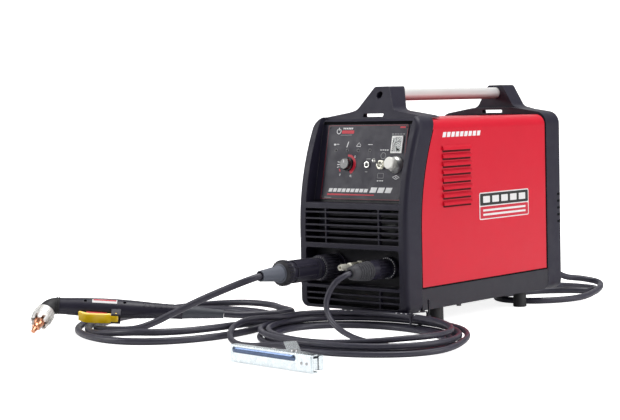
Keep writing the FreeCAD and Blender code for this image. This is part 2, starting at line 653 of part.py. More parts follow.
def fan_rotor():
    hub = lathe([(0, 0.01), (0, 20.0), (16, 20.0), (16, 18.0), (2, 18.0), (2, 2.0), (13, 2.0), (13, 0.01)],
                (0, FAN_Y + 2, FAN_Z), (0, 1, 0))
    blade = box(-1.0, 1.0, FAN_Y + 3, FAN_Y + 17, FAN_Z + 19, FAN_Z + 55)
    blade.rotate(V(0, FAN_Y + 10, FAN_Z), V(0, 0, 1), 38)
    return fuse_all([hub] + polar(lambda a: turned(blade, (0, 0, FAN_Z), (0, 1, 0), a), 7))


PUMP_X = -56.0
PUMP_Z = 80.0


def compressor():
    crankcase = lathe([(0, 6.05), (0, 34), (6, 38), (64, 38), (70, 34), (70, 6.05)], (PUMP_X, -70, PUMP_Z), (0, 1, 0))
    motor = lathe([(0, 6.05), (0, 30), (80, 30), (80, 6.05)], (PUMP_X, 0, PUMP_Z), (0, 1, 0))
    foot = box(PUMP_X - 34, PUMP_X + 34, -66, 76, BASE_Z + 2.1, PUMP_Z - 25)
    cylinder = rod((PUMP_X, -35, PUMP_Z + 30), (0, 0, 1), 24, 50)
    fins = [rod((PUMP_X, -35, PUMP_Z + 38 + i * 6), (0, 0, 1), 31, 2.5) for i in range(6)]
    head = box(PUMP_X - 28, PUMP_X + 28, -63, -7, PUMP_Z + 78, PUMP_Z + 92)
    body = fuse_all([crankcase, motor, foot, cylinder, head] + fins)
    return body.cut(rod((PUMP_X, -90, PUMP_Z), (0, 1, 0), 6.05, 200))


def compressor_shaft():
    shaft = rod((PUMP_X, -84, PUMP_Z), (0, 1, 0), 6.0, 184)
    crank = rod((PUMP_X, -84, PUMP_Z), (0, 1, 0), 22, 8).cut(rod((PUMP_X + 13, -90, PUMP_Z), (0, 1, 0), 5, 20))
    wheel = ring((PUMP_X, 84, PUMP_Z), (0, 1, 0), 28, 24, 12)
    blades = polar(lambda a: turned(box(PUMP_X - 1, PUMP_X + 1, 84, 94, PUMP_Z + 4, PUMP_Z + 25),
                                    (PUMP_X, 0, PUMP_Z), (0, 1, 0), a), 8)
    return fuse_all([shaft, crank, wheel] + blades)


def transformer():
    core = box(20, 86, -120, -30, BASE_Z + 2.1, 110).cut(box(32, 74, -130, -20, 46, 94))
    centre = box(46, 60, -120, -30, 40, 100)
    winding = prism([(33, -126, 8), (73, -126, 8), (73, -24, 8), (33, -24, 8)], "xy", 47, 93)
    return fuse_all([core, centre, winding])


def heatsink():
    base = box(24, 30, -10, 130, 50, 150)
    fins = [box(30, 88, -10, 130, 52 + i * 8.0, 54.5 + i * 8.0) for i in range(13)]
    legs = [box(24, 30, -10, 0, BASE_Z + 2.1, 50), box(24, 30, 120, 130, BASE_Z + 2.1, 50)]
    return fuse_all([base] + fins + legs)


def power_board():
    board = box(-90, 90, -130, 120, 196, 198)
    posts = [rod((x, y, 198), (0, 0, 1), 4, 100) for x in (-80, 80) for y in (-80, 100)]
    parts = [rod((x, -20, 198), (0, 0, 1), 16, 52) for x in (-60, -20, 20)]
    parts += [box(10, 60, 40, 90, 198, 232), box(-70, -30, 40, 80, 198, 220)]
    return fuse_all([board] + parts + [post.cut(rod((0, 0, 0), (0, 0, 1), 1, 1)) for post in posts])


def switch_body():
    x = -62.0
    z = 82.0
    plate = lathe([(0, 4.05), (0, 22.0), (3.0, 21.0), (3.0, 4.05)], (x, CASE_REAR + 0.05, z), (0, 1, 0))
    neck = ring((x, CASE_REAR - 20, z), (0, 1, 0), 8.8, 4.05, 21)
    block = box(x - 20, x + 20, CASE_REAR - 45, CASE_REAR - 19, z - 20, z + 20).cut(
        rod((x, 170, z), (0, 1, 0), 4.05, 60))
    return fuse_all([plate, neck, block])


def switch_knob():
    x = -62.0
    z = 82.0
    knob = lathe([(-36, 0.01), (-36, 4.0), (3.3, 4.0), (3.3, 15.0), (8.0, 14.5), (8.0, 0.01)], (x, CASE_REAR, z), (0, 1, 0))
    bar = prism([(x - 4, z - 15, 2), (x + 4, z - 15, 2), (x + 3, z + 15, 2), (x - 3, z + 15, 2)],
                "xz", CASE_REAR + 7, CASE_REAR + 20)
    return fuse_all([knob, bar])


# ---------------------------------------------------------------- cables

def oval(centre, long_half, short_half, heading, angle):
    """Point on a flat oval: the angle runs anticlockwise from the oval's long axis."""
    turn = math.radians(heading)
    u = long_half * math.cos(math.radians(angle))
    v = short_half * math.sin(math.radians(angle))
    return centre[0] + u * math.cos(turn) - v * math.sin(turn), centre[1] + u * math.sin(turn) + v * math.cos(turn)


def ease(value, start, end):
    """Smooth step from 0 to 1 as value runs from start to end."""
    t = min(1.0, max(0.0, (value - start) / (end - start)))
    return t * t * (3 - 2 * t)


def pressed_left(x):
    """The right hand side of the torch coil gives way to the work coil."""
    return x if x < -200.0 else -200.0 + 0.8 * (x + 200.0)


def torch_coil():
    """Two and a half loose turns on the floor, wound clockwise and outwards."""
    points = []
    floor = TORCH_CABLE_R + 0.1
    step = 18.0
    first = -128.0
    last = -1018.0
    count = int(round((first - last) / step))
    for i in range(count + 1):
        angle = first + (last - first) * i / count
        turns = (first - angle) / 360.0
        inset = -32.0 + 16.0 * turns
        x, y = oval((-222.0, -383.0), 208.0 + inset, 170.0 + inset, 130.0, angle - 130.0)
        x = pressed_left(x)
        stacked = ease(turns, 0.5, 0.68) * (1 - ease(turns, 0.84, 0.98))
        lifted = ease(turns, 2.2, 2.4)
        points.append(V(x, y, floor + 11.6 * max(stacked, lifted)))
    return points


def torch_lead():
    exit_y = RECESS_FLOOR - 168.0
    fall = [V(TORCH_X, exit_y, TORCH_Z), V(TORCH_X, exit_y - 9, TORCH_Z), V(TORCH_X - 1, exit_y - 19, TORCH_Z - 0.5),
            V(-68, -400, 85), V(-104, -414, 70),
            V(-144, -430, 52), V(-181, -447, 33), V(-215, -462, 16), V(-240, -474, 7.5), V(-266, -487, 5.6)]
    coil = torch_coil()
    heading = (SLEEVE_END - ELBOW).normalize()
    hook = [V(-121.5, -234, 17.6), V(-109, -250, 18.2), V(-113, -271, 18.4), V(-127, -293, 18.4)]
    hook += [SLEEVE_END + heading * 24.0, SLEEVE_END + heading * 8.0, SLEEVE_END + heading * 0.4]
    return sweep(fall + coil + hook, TORCH_CABLE_R)


def work_coil():
    """Six turns in three layers, wound anticlockwise."""
    points = []
    step = 24.0
    first = 10.0
    last = first + 360.0 * 5.52
    count = int(round((last - first) / step))
    for i in range(count + 1):
        angle = first + (last - first) * i / count
        turns = (angle - first) / 360.0
        layer_two = ease(turns, 2.95, 3.12)
        layer_three = ease(turns, 4.75, 4.95)
        inset = -36.0 + 11.5 * min(turns, 3.0) - 12.0 * max(0.0, min(turns - 3.1, 1.7)) \
            + 14.0 * max(0.0, turns - 4.95)
        x, y = oval((118.0, -346.0), 188.0 + inset, 143.0 + inset - 10.0 * layer_three, -14.5, angle)
        points.append(V(x, y, WORK_CABLE_R + 0.1 + 10.4 * layer_two + 9.3 * layer_three))
    return points


def work_lead():
    exit_y = RECESS_FLOOR - 90.0
    fall = [V(WORK_X, exit_y, WORK_Z), V(WORK_X, exit_y - 8, WORK_Z), V(WORK_X - 1.5, exit_y - 18, WORK_Z - 1.5),
            V(47, -316, 82), V(38, -322, 66), V(36, -327, 50), V(46, -334, 32), V(70, -343, 17), V(108, -356, 7.5),
            V(150, -371, 4.6), V(190, -385, 4.5), V(228, -394, 4.5), V(256, -386, 4.5)]
    coil = work_coil()
    ramp = [V(-73, -388, 24), V(-65, -430, 18), V(-30, -474, 9.5), V(14, -503, 7), V(56, -514, 9), V(88, -509, 12)]
    hook = [clamp_point(-132.0, 0.0, 13.0), clamp_point(-113.9, 0.0, 13.0)]
    return sweep(fall + coil + ramp + hook, WORK_CABLE_R)


def mains_cable():
    """Drops behind the case from its gland, then lies in two loose loops on the floor."""
    fall = [V(70, CASE_REAR - 25, 80), V(70, CASE_REAR - 2, 80), V(70, CASE_REAR + 16, 80), V(69, 262, 77),
            V(60, 282, 62), V(50, 300, 44), V(58, 322, 31), V(80, 346, 26), V(108, 352, 21), V(128, 328, 16),
            V(141, 280, 10), V(143, 238, 7)]
    loops = [V(128, 195, 6), V(95, 160, 5.6), V(48, 148, 5.6), V(8, 172, 5.6), V(-2, 226, 5.6), V(22, 288, 5.6),
             V(62, 324, 5.6), V(94, 340, 5.6), V(92, 372, 5.6), V(50, 388, 5.6), V(-8, 384, 5.6)]
    plug_end = [V(-52, 370, 10.0), V(-80, 365.3, 17.6), V(-90, 365, 18.2), V(-95, 365, 18.2)]
    return sweep(fall + loops + plug_end, MAINS_CABLE_R)


def mains_plug():
    body = lathe([(0, 5.9), (0, 8.5), (14, 9.5), (18, 17.5), (46, 18.0), (48, 17.0), (48, 0.01), (4, 0.01), (4, 5.7)],
                 (-92, 365, 18.2), (-1, 0, 0))
    pins = [rod((-139, 365 + side * 9.5, 18.2), (-1, 0, 0), 2.4, 20) for side in (-1, 1)]
    return fuse_all([body] + pins)


def cable_gland():
    body = lathe([(-18, 6.0), (-18, 10.0), (0.05, 10.0), (0.05, 15.0), (7.0, 15.0), (8.0, 12.5), (15.0, 11.5),
                  (18.0, 8.5), (18.0, 6.4)], (70.0, CASE_REAR, 80.0), (0, 1, 0))
    hexagon = prism([(70.0 + 15.0 * math.cos(math.radians(60 * i)), 80.0 + 15.0 * math.sin(math.radians(60 * i)), 0)
                     for i in range(6)], "xz", 180.0, 280.0)
    return body.common(hexagon)


def cable_tie():
    """Strap round the two upper layers of the work lead coil."""
    angle = 96.0
    x, y = oval((118.0, -346.0), 188.0 - 13.0, 143.0 - 13.0, -14.5, angle)
    ahead_x, ahead_y = oval((118.0, -346.0), 188.0 - 13.0, 143.0 - 13.0, -14.5, angle + 4.0)
    heading = math.degrees(math.atan2(ahead_y - y, ahead_x - x))
    inner_side = 21.0
    outer_side = -17.0
    low = 9.3
    high = 30.5
    outer = prism([(outer_side, low, 3), (inner_side, low, 3), (inner_side, high, 5), (outer_side, high, 5)],
                  "yz", -2.2, 2.2)
    inner = prism([(outer_side + 1, low + 1, 2), (inner_side - 1, low + 1, 2), (inner_side - 1, high - 1, 4),
                   (outer_side + 1, high - 1, 4)], "yz", -3, 3)
    head = box(-3.5, 3.5, outer_side - 4, outer_side + 0.6, 16, 23)
    tail = box(-1.8, 1.8, outer_side - 3, outer_side - 2, 22, 48)
    strap = fuse_all([outer.cut(inner), head, tail])
    strap.Placement = FreeCAD.Placement(V(x, y, 0), FreeCAD.Rotation(V(0, 0, 1), heading))
    return strap


# ---------------------------------------------------------------- torch

def torch_frame():
    """Placement of the torch: x along the handle to the sleeve, -z the way the nozzle bends."""
    along = (SLEEVE_END - ELBOW).normalize()
    nozzle = (NOZZLE_TIP - ELBOW).normalize()
    down = (nozzle - along * nozzle.dot(along)).normalize()
    up = down * -1.0
    side = up.cross(along)
    matrix = FreeCAD.Matrix(along.x, side.x, up.x, ELBOW.x, along.y, side.y, up.y, ELBOW.y,
                            along.z, side.z, up.z, ELBOW.z, 0, 0, 0, 1)
    return FreeCAD.Placement(matrix)


def nozzle_direction():
    """Nozzle axis in the torch's own frame."""
    along = (SLEEVE_END - ELBOW).normalize()
    nozzle = (NOZZLE_TIP - ELBOW).normalize()
    forward = nozzle.dot(along)
    return V(forward, 0, -math.sqrt(1 - forward * forward))


def on_torch(shape):
    shape.Placement = torch_frame() * shape.Placement
    return shape


def oval_section(x, half_y, half_z):
    ellipse = Part.Ellipse(V(x, 0, half_z), V(x, half_y, 0), V(x, 0, 0))
    return Part.Wire([ellipse.toShape()])


def handle_form(shrink):
    stations = [(16.0, 12.2, 14.6), (40.0, 13.2, 15.6), (75.0, 14.6, 17.0), (112.0, 14.4, 17.0),
                (160.0, 12.6, 14.2), (214.0, 11.2, 12.4)]
    return Part.makeLoft([oval_section(x, y - shrink, z - shrink) for x, y, z in stations], True, False)


def torch_handle(side):
    form = handle_form(0.0).cut(handle_form(2.5))
    fork = [box(100.0, 115.0, y, y + 3.2, -25.5, -12.0) for y in (-9.9, 6.7)]
    form = cut_all(form, [rod((57.0, -30.0, 0.0), (0, 1, 0), 2.6, 60), rod((120.0, -30.0, 0.0), (0, 1, 0), 2.6, 60),
                          box(58.0, 100.0, -5.2, 5.2, -30.0, -8.0)])
    for ear in fork:
        form = form.fuse(ear.cut(handle_form(2.5)))
    form = form.cut(rod((108.0, -20.0, -22.5), (0, 1, 0), 1.55, 40))
    half = box(0.0, 240.0, 0.05, 40.0, -40.0, 40.0) if side > 0 else box(0.0, 240.0, -40.0, -0.05, -40.0, 40.0)
    return on_torch(form.common(half))


def torch_screws():
    screws = [rod((x, -9.0, 0.0), (0, 1, 0), 2.5, 18) for x in (57.0, 120.0)]
    return on_torch(Part.Compound([screw.cut(rod((0, 0, 0), (0, 1, 0), 0.1, 0.1)) for screw in screws]))


def torch_head():
    direction = nozzle_direction()
    radius = 13.2
    neck = rod((12.0, 0, 0), (1, 0, 0), 9.0, 22.0)
    reach = 13.0
    half = direction.getAngle(V(1, 0, 0)) / 2
    bisector = (direction + V(1, 0, 0)).normalize()
    middle = bisector * (reach / math.cos(half) - reach * math.tan(half))
    elbow_spine = Part.Wire([Part.makeLine(V(15.8, 0, 0), V(reach, 0, 0)),
                             Part.Arc(V(reach, 0, 0), middle, direction * reach).toShape(),
                             Part.makeLine(direction * reach, direction * 17.4)])
    elbow = elbow_spine.makePipeShell([Part.Wire([Part.makeCircle(radius, V(15.8, 0, 0), V(1, 0, 0))])], True, False)
    collar = lathe([(14, 0.01), (14, 14.6), (17.4, 14.6), (17.4, 12.6), (27, 12.6), (27, 0.01)], (0, 0, 0),
                   (direction.x, 0, direction.z))
    ribs = [rod((x, 0, 0), (1, 0, 0), 14.2, 1.4) for x in (10.4, 13.8)]
    head = fuse_all([elbow, neck, collar] + ribs)
    return on_torch(head.cut(rod((0, 0, 0), (direction.x, 0, direction.z), 5.0, 40)))


def shield_cup():
    direction = nozzle_direction()
    cup = lathe([(17.8, 12.75), (17.8, 15.6), (20, 16.2), (34, 16.2), (46, 14.6), (46, 11.2), (30, 11.2), (29, 12.75)])
    notches = polar(lambda a: turned(box(-2.4, 2.4, -47.0, -39.0, 9.0, 18.0), (0, 0, 0), (0, 1, 0), a), 8)
    cup = cut_all(cup, notches)
    cup.Placement = FreeCAD.Placement(V(0, 0, 0), FreeCAD.Rotation(V(0, -1, 0), direction)) * cup.Placement
    return on_torch(cup)


def torch_nozzle():
    direction = nozzle_direction()
    nozzle = lathe([(27.2, 3.0), (27.2, 8.8), (44.0, 8.8), (52.0, 6.2), (58.0, 6.0), (60.0, 4.4), (67.5, 3.6),
                    (67.5, 0.01), (60.0, 0.01), (60.0, 3.0)])
    nozzle.Placement = FreeCAD.Placement(V(0, 0, 0), FreeCAD.Rotation(V(0, -1, 0), direction)) * nozzle.Placement
    return on_torch(nozzle)


def torch_trigger():
    body = prism([(60.0, -21.0, 2.5), (92.5, -20.5, 2.0), (92.5, -11.0, 0), (60.0, -11.0, 0)], "xz", -4.8, 4.8)
    return on_torch(body)


def safety_lever():
    curve = prism([(99.5, -25.6, 0), (99.5, -22.6, 0), (90.0, -23.6, 8), (64.0, -24.4, 12), (50.0, -20.0, 0),
                   (47.5, -22.4, 0), (60.0, -27.4, 10), (92.0, -27.0, 8)], "xz", -9.0, 9.0)
    lug = prism([(94.0, -25.6, 0), (111.5, -25.6, 3), (111.5, -19.6, 2.9), (94.0, -19.6, 0)], "xz", -6.4, 6.4)
    lever = fuse_all([curve, lug])
    pin = rod((108.0, -9.5, -22.5), (0, 1, 0), 1.5, 19.0)
    return on_torch(lever.fuse(pin))


def torch_sleeve():
    length = (SLEEVE_END - ELBOW).Length
    start = 214.2
    sleeve = lathe([(start, 5.6), (start, 11.0), (start + 6, 10.4), (length, 6.9), (length, 5.6)], (0, 0, 0), (1, 0, 0))
    return on_torch(sleeve)


# ---------------------------------------------------------------- work clamp

def clamp_frame():
    return FreeCAD.Placement(CLAMP_PIVOT, FreeCAD.Rotation(V(0, 0, 1), CLAMP_HEADING))


def clamp_point(x, y, z):
    """Point given along and across the splayed handle of the moving arm."""
    turn = math.radians(180.0 - CLAMP_SPLAY)
    local = V(-x * math.cos(turn) + y * math.sin(turn), -x * math.sin(turn) - y * math.cos(turn), z)
    return clamp_frame().multVec(local)


def channel(corners, z0, z1, wall):
    """Folded channel: corners outline the flanges, the first straight side is the web."""
    outer = prism(corners, "xy", z0, z1)
    inner = prism(corners, "xy", z0 + wall, z1 - wall)
    inner.translate(V(0, wall, 0))
    return outer.cut(inner)


def clamp_arm():
    arm = channel([(-120.0, -13.5, 3), (49.0, -13.5, 1), (49.0, -3.0, 1), (20.0, 6.0, 4), (-14.0, 6.0, 6),
                   (-34.0, -1.0, 8), (-120.0, -1.0, 5)], 0.6, 25.0, 1.5)
    teeth = box(40.0, 47.5, -12.0, -2.0, 5.0, 20.0)
    arm = fuse_all([arm, teeth]).cut(rod((0, 0, -1), (0, 0, 1), 3.05, 40))
    arm.Placement = clamp_frame()
    return arm


def clamp_jaw():
    grip = prism([(-110.0, -9.0, 4), (4.0, -8.0, 4), (4.0, 10.0, 3), (-110.0, 10.0, 4)], "xy", 3.0, 22.6).cut(
        prism([(-130.0, -20.0, 0), (20.0, -20.0, 0), (20.0, 8.5, 0), (-130.0, 8.5, 0)], "xy", 4.5, 21.1))
    grip.rotate(V(0, 0, 0), V(0, 0, 1), -CLAMP_SPLAY)
    nose = prism([(-6.0, -6.0, 3), (20.0, -6.0, 2), (47.0, 2.0, 1), (47.0, 11.0, 3), (-6.0, 13.0, 4)], "xy", 3.0, 22.6).cut(
        prism([(-20.0, -20.0, 0), (60.0, -20.0, 0), (60.0, 9.5, 0), (-20.0, 11.5, 0)], "xy", 4.5, 21.1))
    tip = box(39.0, 46.5, 1.0, 10.0, 4.5, 21.1)
    jaw = fuse_all([grip, nose, tip]).cut(rod((0, 0, -1), (0, 0, 1), 3.1, 40))
    jaw.Placement = clamp_frame()
    return jaw


def clamp_contact():
    """Copper bus strip lying in the moving arm from the cable end to the jaw."""
    strip = box(-72.0, -12.0, 3.0, 5.4, 6.5, 19.0)
    strip.rotate(V(0, 0, 0), V(0, 0, 1), -CLAMP_SPLAY)
    lead = rod((-112.0, 0.0, 13.0), (1, 0, 0), 5.0, 42.0)
    lead.rotate(V(0, 0, 0), V(0, 0, 1), -CLAMP_SPLAY)
    strip = fuse_all([strip, lead])
    strip.Placement = clamp_frame()
    return strip


def clamp_pivot():
    pin = lathe([(0.2, 0.01), (0.2, 5.5), (0.5, 5.5), (0.5, 3.0), (25.1, 3.0), (25.1, 5.5), (27.0, 4.5),
                 (27.0, 0.01)], (0, 0, 0), (0, 0, 1))
    pin.Placement = clamp_frame() * pin.Placement
    return pin


PARTS = {
    "base_pan": base_pan,
    "cover": cover,
    "front_bezel": front_bezel,
    "rear_bezel": rear_bezel,
    "handle_tube": handle_tube,
    "handle_screws": handle_screws,
    "case_screws": case_screws,
    "feet": feet,
    "foot_screws": foot_screws,
    "control_panel": control_panel,
    "potentiometer": potentiometer,
    "current_knob": current_knob,
    "button_ring": button_ring,
    "push_button": push_button,
    "toggle_body": toggle_body,
    "toggle_lever": toggle_lever,
    "gauge_case": gauge_case,
    "gauge_lens": gauge_lens,
    "gauge_needle": gauge_needle,
    "regulator_body": regulator_body,
    "regulator_spindle": regulator_spindle,
    "regulator_knob": regulator_knob,
    "status_leds": status_leds,
    "socket_plate": socket_plate,
    "torch_socket": torch_socket,
    "torch_plug": torch_plug,
    "coupling_ring": coupling_ring,
    "torch_boot": torch_boot,
    "torch_lead": torch_lead,
    "air_nipple": air_nipple,
    "work_socket": work_socket,
    "work_plug": work_plug,
    "work_boot": work_boot,
    "work_lead": work_lead,
    "cable_tie": cable_tie,
    "mains_cable": mains_cable,
    "mains_plug": mains_plug,
    "cable_gland": cable_gland,
    "switch_body": switch_body,
    "switch_knob": switch_knob,
    "fan_frame": fan_frame,
    "fan_rotor": fan_rotor,
    "compressor": compressor,
    "compressor_shaft": compressor_shaft,
    "transformer": transformer,
    "heatsink": heatsink,
    "power_board": power_board,
    "torch_handle_left": lambda: torch_handle(1),
    "torch_handle_right": lambda: torch_handle(-1),
    "torch_screws": torch_screws,
    "torch_head": torch_head,
    "shield_cup": shield_cup,
    "torch_nozzle": torch_nozzle,
    "torch_trigger": torch_trigger,
    "safety_lever": safety_lever,
    "torch_sleeve": torch_sleeve,
    "clamp_arm": clamp_arm,
    "clamp_jaw": clamp_jaw,
    "clamp_contact": clamp_contact,
    "clamp_pivot": clamp_pivot,
}

os.makedirs("parts", exist_ok=True)
for node, build in PARTS.items():
    shape = build()
    shape.exportStep("parts/" + node + ".step")
    print(node, "solids", len(shape.Solids), "valid", shape.isValid(), "volume", round(shape.Volume, 1))
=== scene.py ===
"""Looks of the plasma cutting unit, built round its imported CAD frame."""
import math
from functools import partial

import bmesh
import bpy
from mathutils import Matrix, Vector


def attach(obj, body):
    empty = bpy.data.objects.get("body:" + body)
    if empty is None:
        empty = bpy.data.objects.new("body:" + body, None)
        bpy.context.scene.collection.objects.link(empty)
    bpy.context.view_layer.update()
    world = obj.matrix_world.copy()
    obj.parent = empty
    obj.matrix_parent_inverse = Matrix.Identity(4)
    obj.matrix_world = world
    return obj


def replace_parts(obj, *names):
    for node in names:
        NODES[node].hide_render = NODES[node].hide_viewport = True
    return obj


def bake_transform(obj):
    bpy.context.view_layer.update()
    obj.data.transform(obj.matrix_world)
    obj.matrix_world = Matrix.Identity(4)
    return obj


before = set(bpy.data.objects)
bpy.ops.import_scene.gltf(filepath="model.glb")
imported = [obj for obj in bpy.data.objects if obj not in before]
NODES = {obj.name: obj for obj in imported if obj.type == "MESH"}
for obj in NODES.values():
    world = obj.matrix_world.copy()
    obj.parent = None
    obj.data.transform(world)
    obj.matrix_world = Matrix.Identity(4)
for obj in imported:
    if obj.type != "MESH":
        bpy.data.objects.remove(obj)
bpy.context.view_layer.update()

# Sizes and places below are in millimetres in the row frame; meshes are scaled to metres as they are made.
MM = 0.001

# ---- front panel, as the CAD leans it
PANEL_FOOT = (-197.0, 206.0)
PANEL_LEAN = math.atan(26.0 / 116.0)
PANEL_HALF = 84.0
PANEL_LOW = 201.0
PANEL_HIGH = 323.0
CONTROL_Z = 258.0
DIAL_X = -33.0
BUTTON_X = 8.0
TOGGLE_X = 37.0
REGULATOR_X = 67.0
GAUGE_X = 65.5
GAUGE_Z = 290.0
LED_Z = 281.0
LED_X = [-61.5, -38.0, -14.4, 9.8]

# ---- cables, and the torch and clamp lying at their ends
TORCH_CABLE_R = 5.5
WORK_CABLE_R = 4.4
MAINS_CABLE_R = 5.5
MAINS_X = 70.0
MAINS_Z = 80.0
CABLE_STEP = 5.0
RECESS_FLOOR = -193.0
CASE_REAR = 227.0
CASE_MIDDLE = 180.0
OPENING_HALF = 101.0
OPENING_TOP = 201.0
TORCH_X = -55.0
TORCH_Z = 92.0
TORCH_BOOT_SPLIT = RECESS_FLOOR - 140.0
WORK_X = 58.0
WORK_Z = 94.0
ELBOW = Vector((-369.0, -540.0, 44.0))
SLEEVE_END = Vector((-169.0, -345.0, 21.0))
NOZZLE_TIP = Vector((-347.0, -595.0, 9.0))
CLAMP_PIVOT = Vector((212.0, -600.0, 0.0))
CLAMP_HEADING = math.radians(-5.8)
CLAMP_SPLAY = math.radians(39.0)
CLAMP_WEB_Y = -13.5
HANDLE_BEND = Vector((35.0, -509.0, 8.0))


# ---------------------------------------------------------------- procedural finishes

class Graph:
    """A material's node tree, built a node at a time."""

    def __init__(self, name):
        self.material = bpy.data.materials.new(name)
        self.material.use_nodes = True
        self.tree = self.material.node_tree
        self.tree.nodes.clear()
        self.place = self.add("ShaderNodeTexCoord").outputs["Object"]

    def add(self, kind, **settings):
        node = self.tree.nodes.new(kind)
        for key, value in settings.items():
            setattr(node, key, value)
        return node

    def wire(self, node, **inputs):
        for key, value in inputs.items():
            by_number = key[0] == "i" and key[1:].isdigit()
            socket = node.inputs[int(key[1:])] if by_number else node.inputs[key]
            if isinstance(value, bpy.types.NodeSocket):
                self.tree.links.new(value, socket)
            elif isinstance(value, tuple) and len(value) == 3 and socket.type == "RGBA":
                socket.default_value = (*value, 1.0)
            else:
                socket.default_value = value
        return node.outputs[0]

    def math(self, operation, a, b=0.0):
        return self.wire(self.add("ShaderNodeMath", operation=operation), i0=a, i1=b)

    def times(self, a, b):
        return self.math("MULTIPLY", a, b)

    def spread(self, value, low, high, start=0.0, end=1.0):
        node = self.add("ShaderNodeMapRange")
        return self.wire(node, i0=value, i1=start, i2=end, i3=low, i4=high)

    def uneven(self, noise, low, high):
        """Value that wanders from low to high with the middle of a noise's range."""
        return self.spread(noise, low, high, 0.3, 0.7)

    def blend(self, share, a, b):
        node = self.add("ShaderNodeMix", data_type="RGBA")
        self.wire(node, i0=share, i6=a, i7=b)
        return node.outputs[2]

    def stretched(self, stretch):
        node = self.add("ShaderNodeMapping")
        return self.wire(node, Vector=self.place, Scale=stretch)

    def noise(self, size, detail=3.0, rough=0.55, stretch=(1.0, 1.0, 1.0)):
        """Noise whose features are about size millimetres across."""
        node = self.add("ShaderNodeTexNoise")
        return self.wire(node, Vector=self.stretched(stretch), Scale=1.0 / (size * MM), Detail=detail,
                         Roughness=rough)

    def cells(self, size):
        node = self.add("ShaderNodeTexVoronoi", feature="F1")
        self.wire(node, Vector=self.place, Scale=1.0 / (size * MM))
        return node.outputs

    def true_normal(self):
        return self.add("ShaderNodeNewGeometry").outputs["Normal"]

    def axes(self, vector):
        node = self.add("ShaderNodeSeparateXYZ")
        self.wire(node, Vector=vector)
        return node.outputs

    def dot(self, a, b):
        node = self.add("ShaderNodeVectorMath", operation="DOT_PRODUCT")
        self.wire(node, i0=a, i1=b)
        return node.outputs["Value"]

    def rounded(self, radius):
        """Normal that rounds sharp edges over radius millimetres, and how far it turns."""
        node = self.add("ShaderNodeBevel", samples=4)
        self.wire(node, Radius=radius * MM)
        edge = self.spread(self.dot(node.outputs[0], self.true_normal()), 1.0, 0.0, 0.80, 0.995)
        return node.outputs[0], edge

    def facing_in(self):
        """1 on surfaces that face the middle of the case, such as the back of the cover's sheet."""
        middle = self.add("ShaderNodeMapping")
        self.wire(middle, Vector=self.place, Location=(0.0, 0.0, -CASE_MIDDLE * MM), Scale=(1.0, 0.0, 1.0))
        return self.math("LESS_THAN", self.dot(middle.outputs[0], self.true_normal()), 0.0)

    def in_openings(self):
        """Rises towards 1 where the front moulding runs back into its openings; it marks where shade is
        painted.
        """
        x, y, z = self.axes(self.place)
        within = self.math("LESS_THAN", self.math("ABSOLUTE", x), OPENING_HALF * MM)
        behind = self.spread(y, 0.0, 0.75, (RECESS_FLOOR - 16.0) * MM, (RECESS_FLOOR - 2.0) * MM)
        under = self.math("LESS_THAN", z, OPENING_TOP * MM)
        return self.times(self.times(within, behind), under)

    def bumped(self, height, depth, normal):
        node = self.add("ShaderNodeBump")
        return self.wire(node, Height=height, Distance=depth * MM, Normal=normal, Strength=1.0)

    def seen_and_cast(self, seen, cast):
        """One value for the camera and another for the light that is thrown on the object."""
        by_camera = self.add("ShaderNodeLightPath").outputs["Is Camera Ray"]
        return self.spread(by_camera, cast, seen)

    def close(self, colour, rough, **more):
        """Finish the material; the words in more are the shader's other inputs, with _ for each space."""
        shader = self.add("ShaderNodeBsdfPrincipled")
        others = {word.replace("_", " "): value for word, value in more.items()}
        self.wire(shader, **{"Base Color": colour, "Roughness": rough}, **others)
        output = self.add("ShaderNodeOutputMaterial")
        self.tree.links.new(shader.outputs[0], output.inputs["Surface"])
        return self.material


def tinted(colour, amount):
    return tuple(min(1.0, max(0.0, channel * amount)) for channel in colour)


def solid_finish(name, colour, rough, metal=0.0, grain=0.8, depth=0.02, mottle=0.12, edge=0.5, worn=0.25,
                 coat=0.0, spread=0.08, stretch=(1.0, 1.0, 1.0), sheen=0.5, hidden=None, dark=None):
    """Base of every finish: mottled colour, uneven gloss, fine grain, and rounded edges that catch the
    light, their colour lightened by wear and by a painted highlight.
    """
    graph = Graph(name)
    normal, edges = graph.rounded(edge)
    fine = graph.noise(grain, 4.0, 0.6, stretch)
    shade = graph.blend(graph.noise(60.0, 4.0), tinted(colour, 1.0 - mottle), tinted(colour, 1.0 + mottle))
    shade = graph.blend(graph.times(fine, 0.25), shade, tinted(colour, 0.8))
    # Edges lighten towards a paler colour: a painted highlight along every edge, and more where the wear
    # noise is high.
    wear_and_highlight_share = graph.spread(graph.noise(7.0, 5.0, 0.7), worn, worn * 2.5, 0.35, 0.75)
    bare_and_highlit = tuple(channel * 0.8 + 0.07 for channel in colour)
    shade = graph.blend(graph.times(edges, wear_and_highlight_share), shade, bare_and_highlit)
    gloss = graph.uneven(graph.noise(22.0, 5.0, 0.65), rough - spread, rough + spread)
    gloss = graph.math("ADD", gloss, graph.times(fine, 0.05))
    # Darken where the mask is: primer on the inside of the cover, and painted shade in the front moulding's
    # openings.
    if hidden:
        shade = graph.blend(hidden(graph), shade, dark)
    return graph.close(shade, gloss, Metallic=metal, Coat_Weight=coat, Coat_Roughness=0.15,
                       Specular_IOR_Level=sheen, Normal=graph.bumped(fine, depth, normal))


